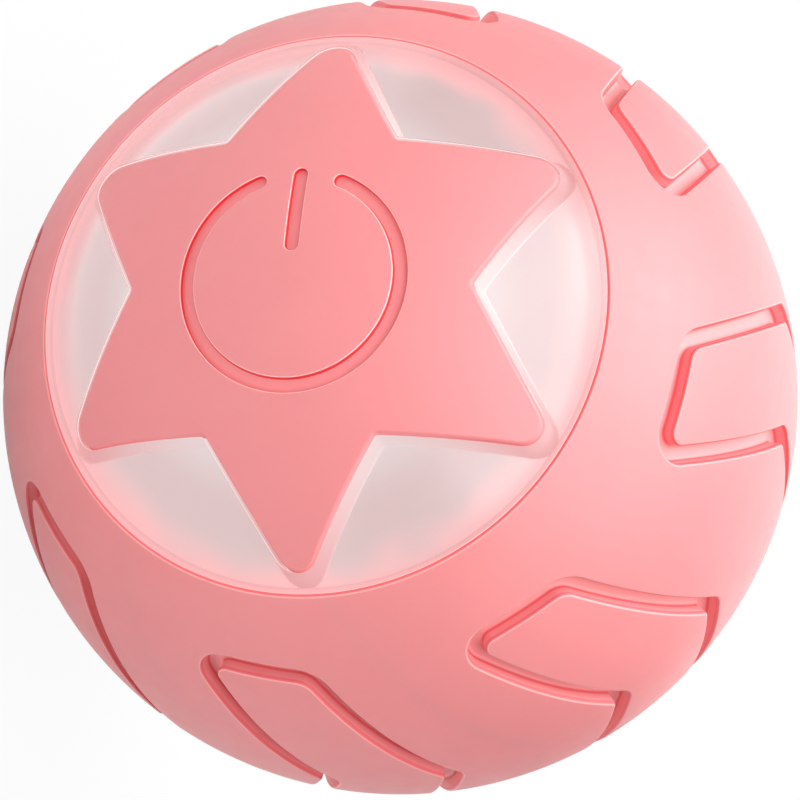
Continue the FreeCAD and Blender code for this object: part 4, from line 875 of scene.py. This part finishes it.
def clear_lens():
    """Clear plastic whose side faces are rough and carry a painted glow, so that they don't turn dark, with a
    painted highlight line along the lip and painted pink reflections of the cover towards the rim and the
    star's tips.
    """
    n = Nodes("clear_lens")
    radius = n.radius()
    off_axis = n.off_axis()
    side = n.math("MULTIPLY", n.fall(radius, *LENS_SIDE_TOP), n.rise(radius, *LENS_SIDE_FOOT))
    rim = n.rise(off_axis, *LENS_RIM)
    outward = n.rise(off_axis, *LENS_OPENING)
    painted_highlight_line = n.rise(radius, *LENS_PAINTED_HIGHLIGHT_LINE)
    polished = n.blend(n.noise(90.0), rgb(253, 246, 246), rgb(255, 250, 250))
    # The side faces' colour turns pink at the rim, a painted reflection of the cover
    colour = n.blend(side, polished, n.blend(rim, rgb(116, 106, 106), rgb(160, 104, 106)))
    # Painted glow of the side faces: pink towards the star's tips and the rim as painted reflections of the
    # cover, and a painted highlight along the lip
    opening = n.blend(outward, rgb(224, 208, 207), rgb(218, 154, 156))
    painted_edge_glow = n.blend(painted_highlight_line, n.blend(rim, opening, rgb(226, 172, 173)), rgb(255, 246, 245))
    painted_glow = n.blend(side, BLACK, painted_edge_glow)
    rough = n.math("ADD", n.math("MULTIPLY", side, LENS_SIDE_ROUGH), n.spread(n.noise(400.0), 0.2, 0.24))
    glass = n.shade(Base_Color=colour, Roughness=rough, IOR=1.4, Specular_IOR_Level=0.2,
                    Transmission_Weight=n.math("SUBTRACT", 1.0, side),
                    Emission_Color=painted_glow, Emission_Strength=LENS_SIDE_GLOW)
    through = n.new("ShaderNodeBsdfTransparent")
    through.inputs["Color"].default_value = LENS_SHADOW
    mix = n.new("ShaderNodeMixShader")
    n.join(n.new("ShaderNodeLightPath").outputs["Is Shadow Ray"], mix.inputs[0])
    n.join(glass, mix.inputs[1])
    n.join(through.outputs[0], mix.inputs[2])
    return n.finish(mix.outputs[0])


def moulded(name, low, high, rough_low, rough_high, bump=0.15):
    """Plastic or rubber from a mould: slight colour drift, a fine grain and uneven gloss."""
    n = Nodes(name)
    colour = n.blend(n.noise(260.0), low, high)
    rough = n.spread(n.noise(900.0), rough_low, rough_high)
    normal = n.bump(n.noise(5000.0, 3.0), bump, 0.05)
    return n.finish(n.shade(Base_Color=colour, Roughness=rough, Normal=normal))


def metal(name, low, high, rough_low, rough_high, stretch):
    """Metal with brush marks along one direction."""
    n = Nodes(name)
    marks = n.noise(900.0, 4.0, 0.6, stretch)
    colour = n.blend(marks, low, high)
    rough = n.spread(marks, rough_low, rough_high)
    normal = n.bump(marks, 0.2, 0.03)
    return n.finish(n.shade(Base_Color=colour, Metallic=1.0, Roughness=rough, Normal=normal))


def board():
    """A green circuit board with paler tracks under its lacquer."""
    n = Nodes("board_green")
    tracks = n.new("ShaderNodeTexBrick")
    for key, value in (("Scale", 260.0), ("Mortar Size", 0.012), ("Brick Width", 0.6), ("Row Height", 0.25)):
        tracks.inputs[key].default_value = value
    n.join(n.place, tracks.inputs["Vector"])
    fac = n.math("MULTIPLY", tracks.outputs["Fac"], 0.5)
    colour = n.blend(fac, n.blend(n.noise(500.0), rgb(18, 92, 56), rgb(24, 104, 62)), rgb(60, 140, 90))
    rough = n.spread(n.noise(800.0), 0.25, 0.38)
    normal = n.bump(tracks.outputs["Fac"], 0.2, 0.03)
    return n.finish(n.shade(Base_Color=colour, Roughness=rough, Normal=normal))


MATERIALS = {
    "frosted_plastic": frosted(),
    "white_plastic": moulded("white_plastic", rgb(226, 226, 222), rgb(234, 234, 230), 0.38, 0.48),
    "grey_plastic": moulded("grey_plastic", rgb(96, 98, 102), rgb(108, 110, 114), 0.5, 0.62),
    "black_plastic": moulded("black_plastic", rgb(34, 34, 36), rgb(44, 44, 46), 0.5, 0.62),
    "seal_rubber": moulded("seal_rubber", rgb(26, 26, 26), rgb(36, 36, 36), 0.6, 0.75),
    "steel": metal("brushed_steel", rgb(188, 189, 192), rgb(212, 213, 215), 0.24, 0.38, (1.0, 12.0, 1.0)),
    "brass": metal("brass", rgb(206, 170, 96), rgb(226, 192, 118), 0.22, 0.36, (1.0, 10.0, 1.0)),
    "cell_foil": metal("cell_foil", rgb(196, 200, 208), rgb(216, 219, 225), 0.3, 0.5, (1.0, 3.0, 1.0)),
    "board_green": board(),
    "lamp": moulded("lamp_resin", rgb(246, 240, 208), rgb(250, 246, 224), 0.15, 0.25, bump=0.05),
    "wire_insulation": moulded("wire_insulation", rgb(176, 30, 26), rgb(196, 40, 34), 0.35, 0.45),
    "cover_silicone": silicone(),
    "star_plastic": star_plastic(),
    "clear_plastic": clear_lens(),
}
for part in frame["record"]["subparts"]:
    node = frame["nodes"][part["node"]]
    node.data.materials.clear()
    node.data.materials.append(MATERIALS[part["material_slot"]])

CLEAR = MATERIALS["clear_plastic"]
make_cover(MATERIALS["cover_silicone"])
make_star(MATERIALS["star_plastic"])
make_lens("front_lens_ring", "front_lens", lambda grow: star_outline(STAR_GAP + grow), -1, CLEAR)
make_lens("rear_lens_ring", "rear_lens", lambda grow: circle(HUB_HOLE_R + grow), 1, CLEAR)
make_spring(MATERIALS["steel"])


# Floor, lamps and camera

# The floor's half width in metres, the greys that its ground drifts between, and the white laid over it
FLOOR_HALF = 3.0
FLOOR_DARK = 0.64
FLOOR_PALE = 0.68
FLOOR_WHITE = 0.94

# The world's strength, the lamps' distance in metres, and each lamp's name, direction, diameter and watts
WORLD_LIGHT = 0.06
LAMP_DISTANCE = 0.6
LAMPS = (
    ("key", (0.05, -0.42, 0.90), 1.1, 7.3),
    ("side", (-0.40, 0.02, 0.92), 0.5, 2.4),
    ("back", (-0.25, 0.92, 0.30), 0.6, 1.5),
)

# The camera as fitted to the photograph: distance in ball radii, axes, lens and sensor in millimetres, and
# shift in pixels
CAMERA_RADII = 14.0
CAMERA_BACK = (0.2821, -0.9199, 0.2722)
CAMERA_RIGHT = (-0.0682, 0.2638, 0.9622)
CAMERA_LENS = 249.74
CAMERA_SENSOR = 36.0
CAMERA_SHIFT = (-0.42, -3.05)
PICTURE_WIDTH = 800.0


def make_floor():
    """Pale ground that takes the object's shadow, under a plain white that the camera and reflections see."""
    mesh = bpy.data.meshes.new("floor")
    z = -BALL_R * MM
    corners = [(-FLOOR_HALF, -FLOOR_HALF, z), (FLOOR_HALF, -FLOOR_HALF, z), (FLOOR_HALF, FLOOR_HALF, z),
               (-FLOOR_HALF, FLOOR_HALF, z)]
    mesh.from_pydata(corners, [], [(0, 1, 2, 3)])
    floor = bpy.data.objects.new("floor", mesh)
    bpy.context.scene.collection.objects.link(floor)
    n = Nodes("pale_floor")
    ground = n.shade(Base_Color=n.blend(n.noise(6.0), grey(FLOOR_DARK), grey(FLOOR_PALE)), Roughness=0.9)
    white = n.new("ShaderNodeEmission")
    path = n.new("ShaderNodeLightPath")
    seen = n.math("MAXIMUM", path.outputs["Is Camera Ray"],
                  n.math("MAXIMUM", path.outputs["Is Glossy Ray"], path.outputs["Is Transmission Ray"]))
    mix = n.new("ShaderNodeMixShader")
    n.join(n.math("MULTIPLY", seen, FLOOR_WHITE), mix.inputs[0])
    n.join(ground, mix.inputs[1])
    n.join(white.outputs[0], mix.inputs[2])
    mesh.materials.append(n.finish(mix.outputs[0]))


def make_world():
    world = bpy.data.worlds.new("studio")
    bpy.context.scene.world = world
    world.use_nodes = True
    nodes = world.node_tree.nodes
    nodes.clear()
    out = nodes.new("ShaderNodeOutputWorld")
    back = nodes.new("ShaderNodeBackground")
    back.inputs["Color"].default_value = grey(1.0)
    back.inputs["Strength"].default_value = WORLD_LIGHT
    world.node_tree.links.new(back.outputs[0], out.inputs["Surface"])


def make_lamp(name, direction, size, watts):
    """A round lamp that faces the ball."""
    data = bpy.data.lights.new(name, "AREA")
    data.shape = "DISK"
    data.size = size
    data.energy = watts
    lamp = bpy.data.objects.new(name, data)
    bpy.context.scene.collection.objects.link(lamp)
    way = Vector(direction).normalized()
    lamp.location = way * LAMP_DISTANCE
    lamp.rotation_euler = way.to_track_quat("Z", "Y").to_euler()


def make_camera():
    """Rolled so that the symbol's bar points up in the picture."""
    data = bpy.data.cameras.new("camera")
    data.sensor_width = CAMERA_SENSOR
    data.lens = CAMERA_LENS
    data.shift_x = CAMERA_SHIFT[0] / PICTURE_WIDTH
    data.shift_y = CAMERA_SHIFT[1] / PICTURE_WIDTH
    back = Vector(CAMERA_BACK).normalized()
    right = Vector(CAMERA_RIGHT)
    right = (right - back * right.dot(back)).normalized()
    up = back.cross(right)
    camera = bpy.data.objects.new("camera", data)
    bpy.context.scene.collection.objects.link(camera)
    turn = Matrix((right, up, back)).transposed().to_4x4()
    camera.matrix_world = Matrix.Translation(back * BALL_R * MM * CAMERA_RADII) @ turn
    bpy.context.scene.camera = camera


make_floor()
make_world()
for lamp in LAMPS:
    make_lamp(*lamp)
make_camera()
bpy.context.scene.view_settings.view_transform = "Standard"
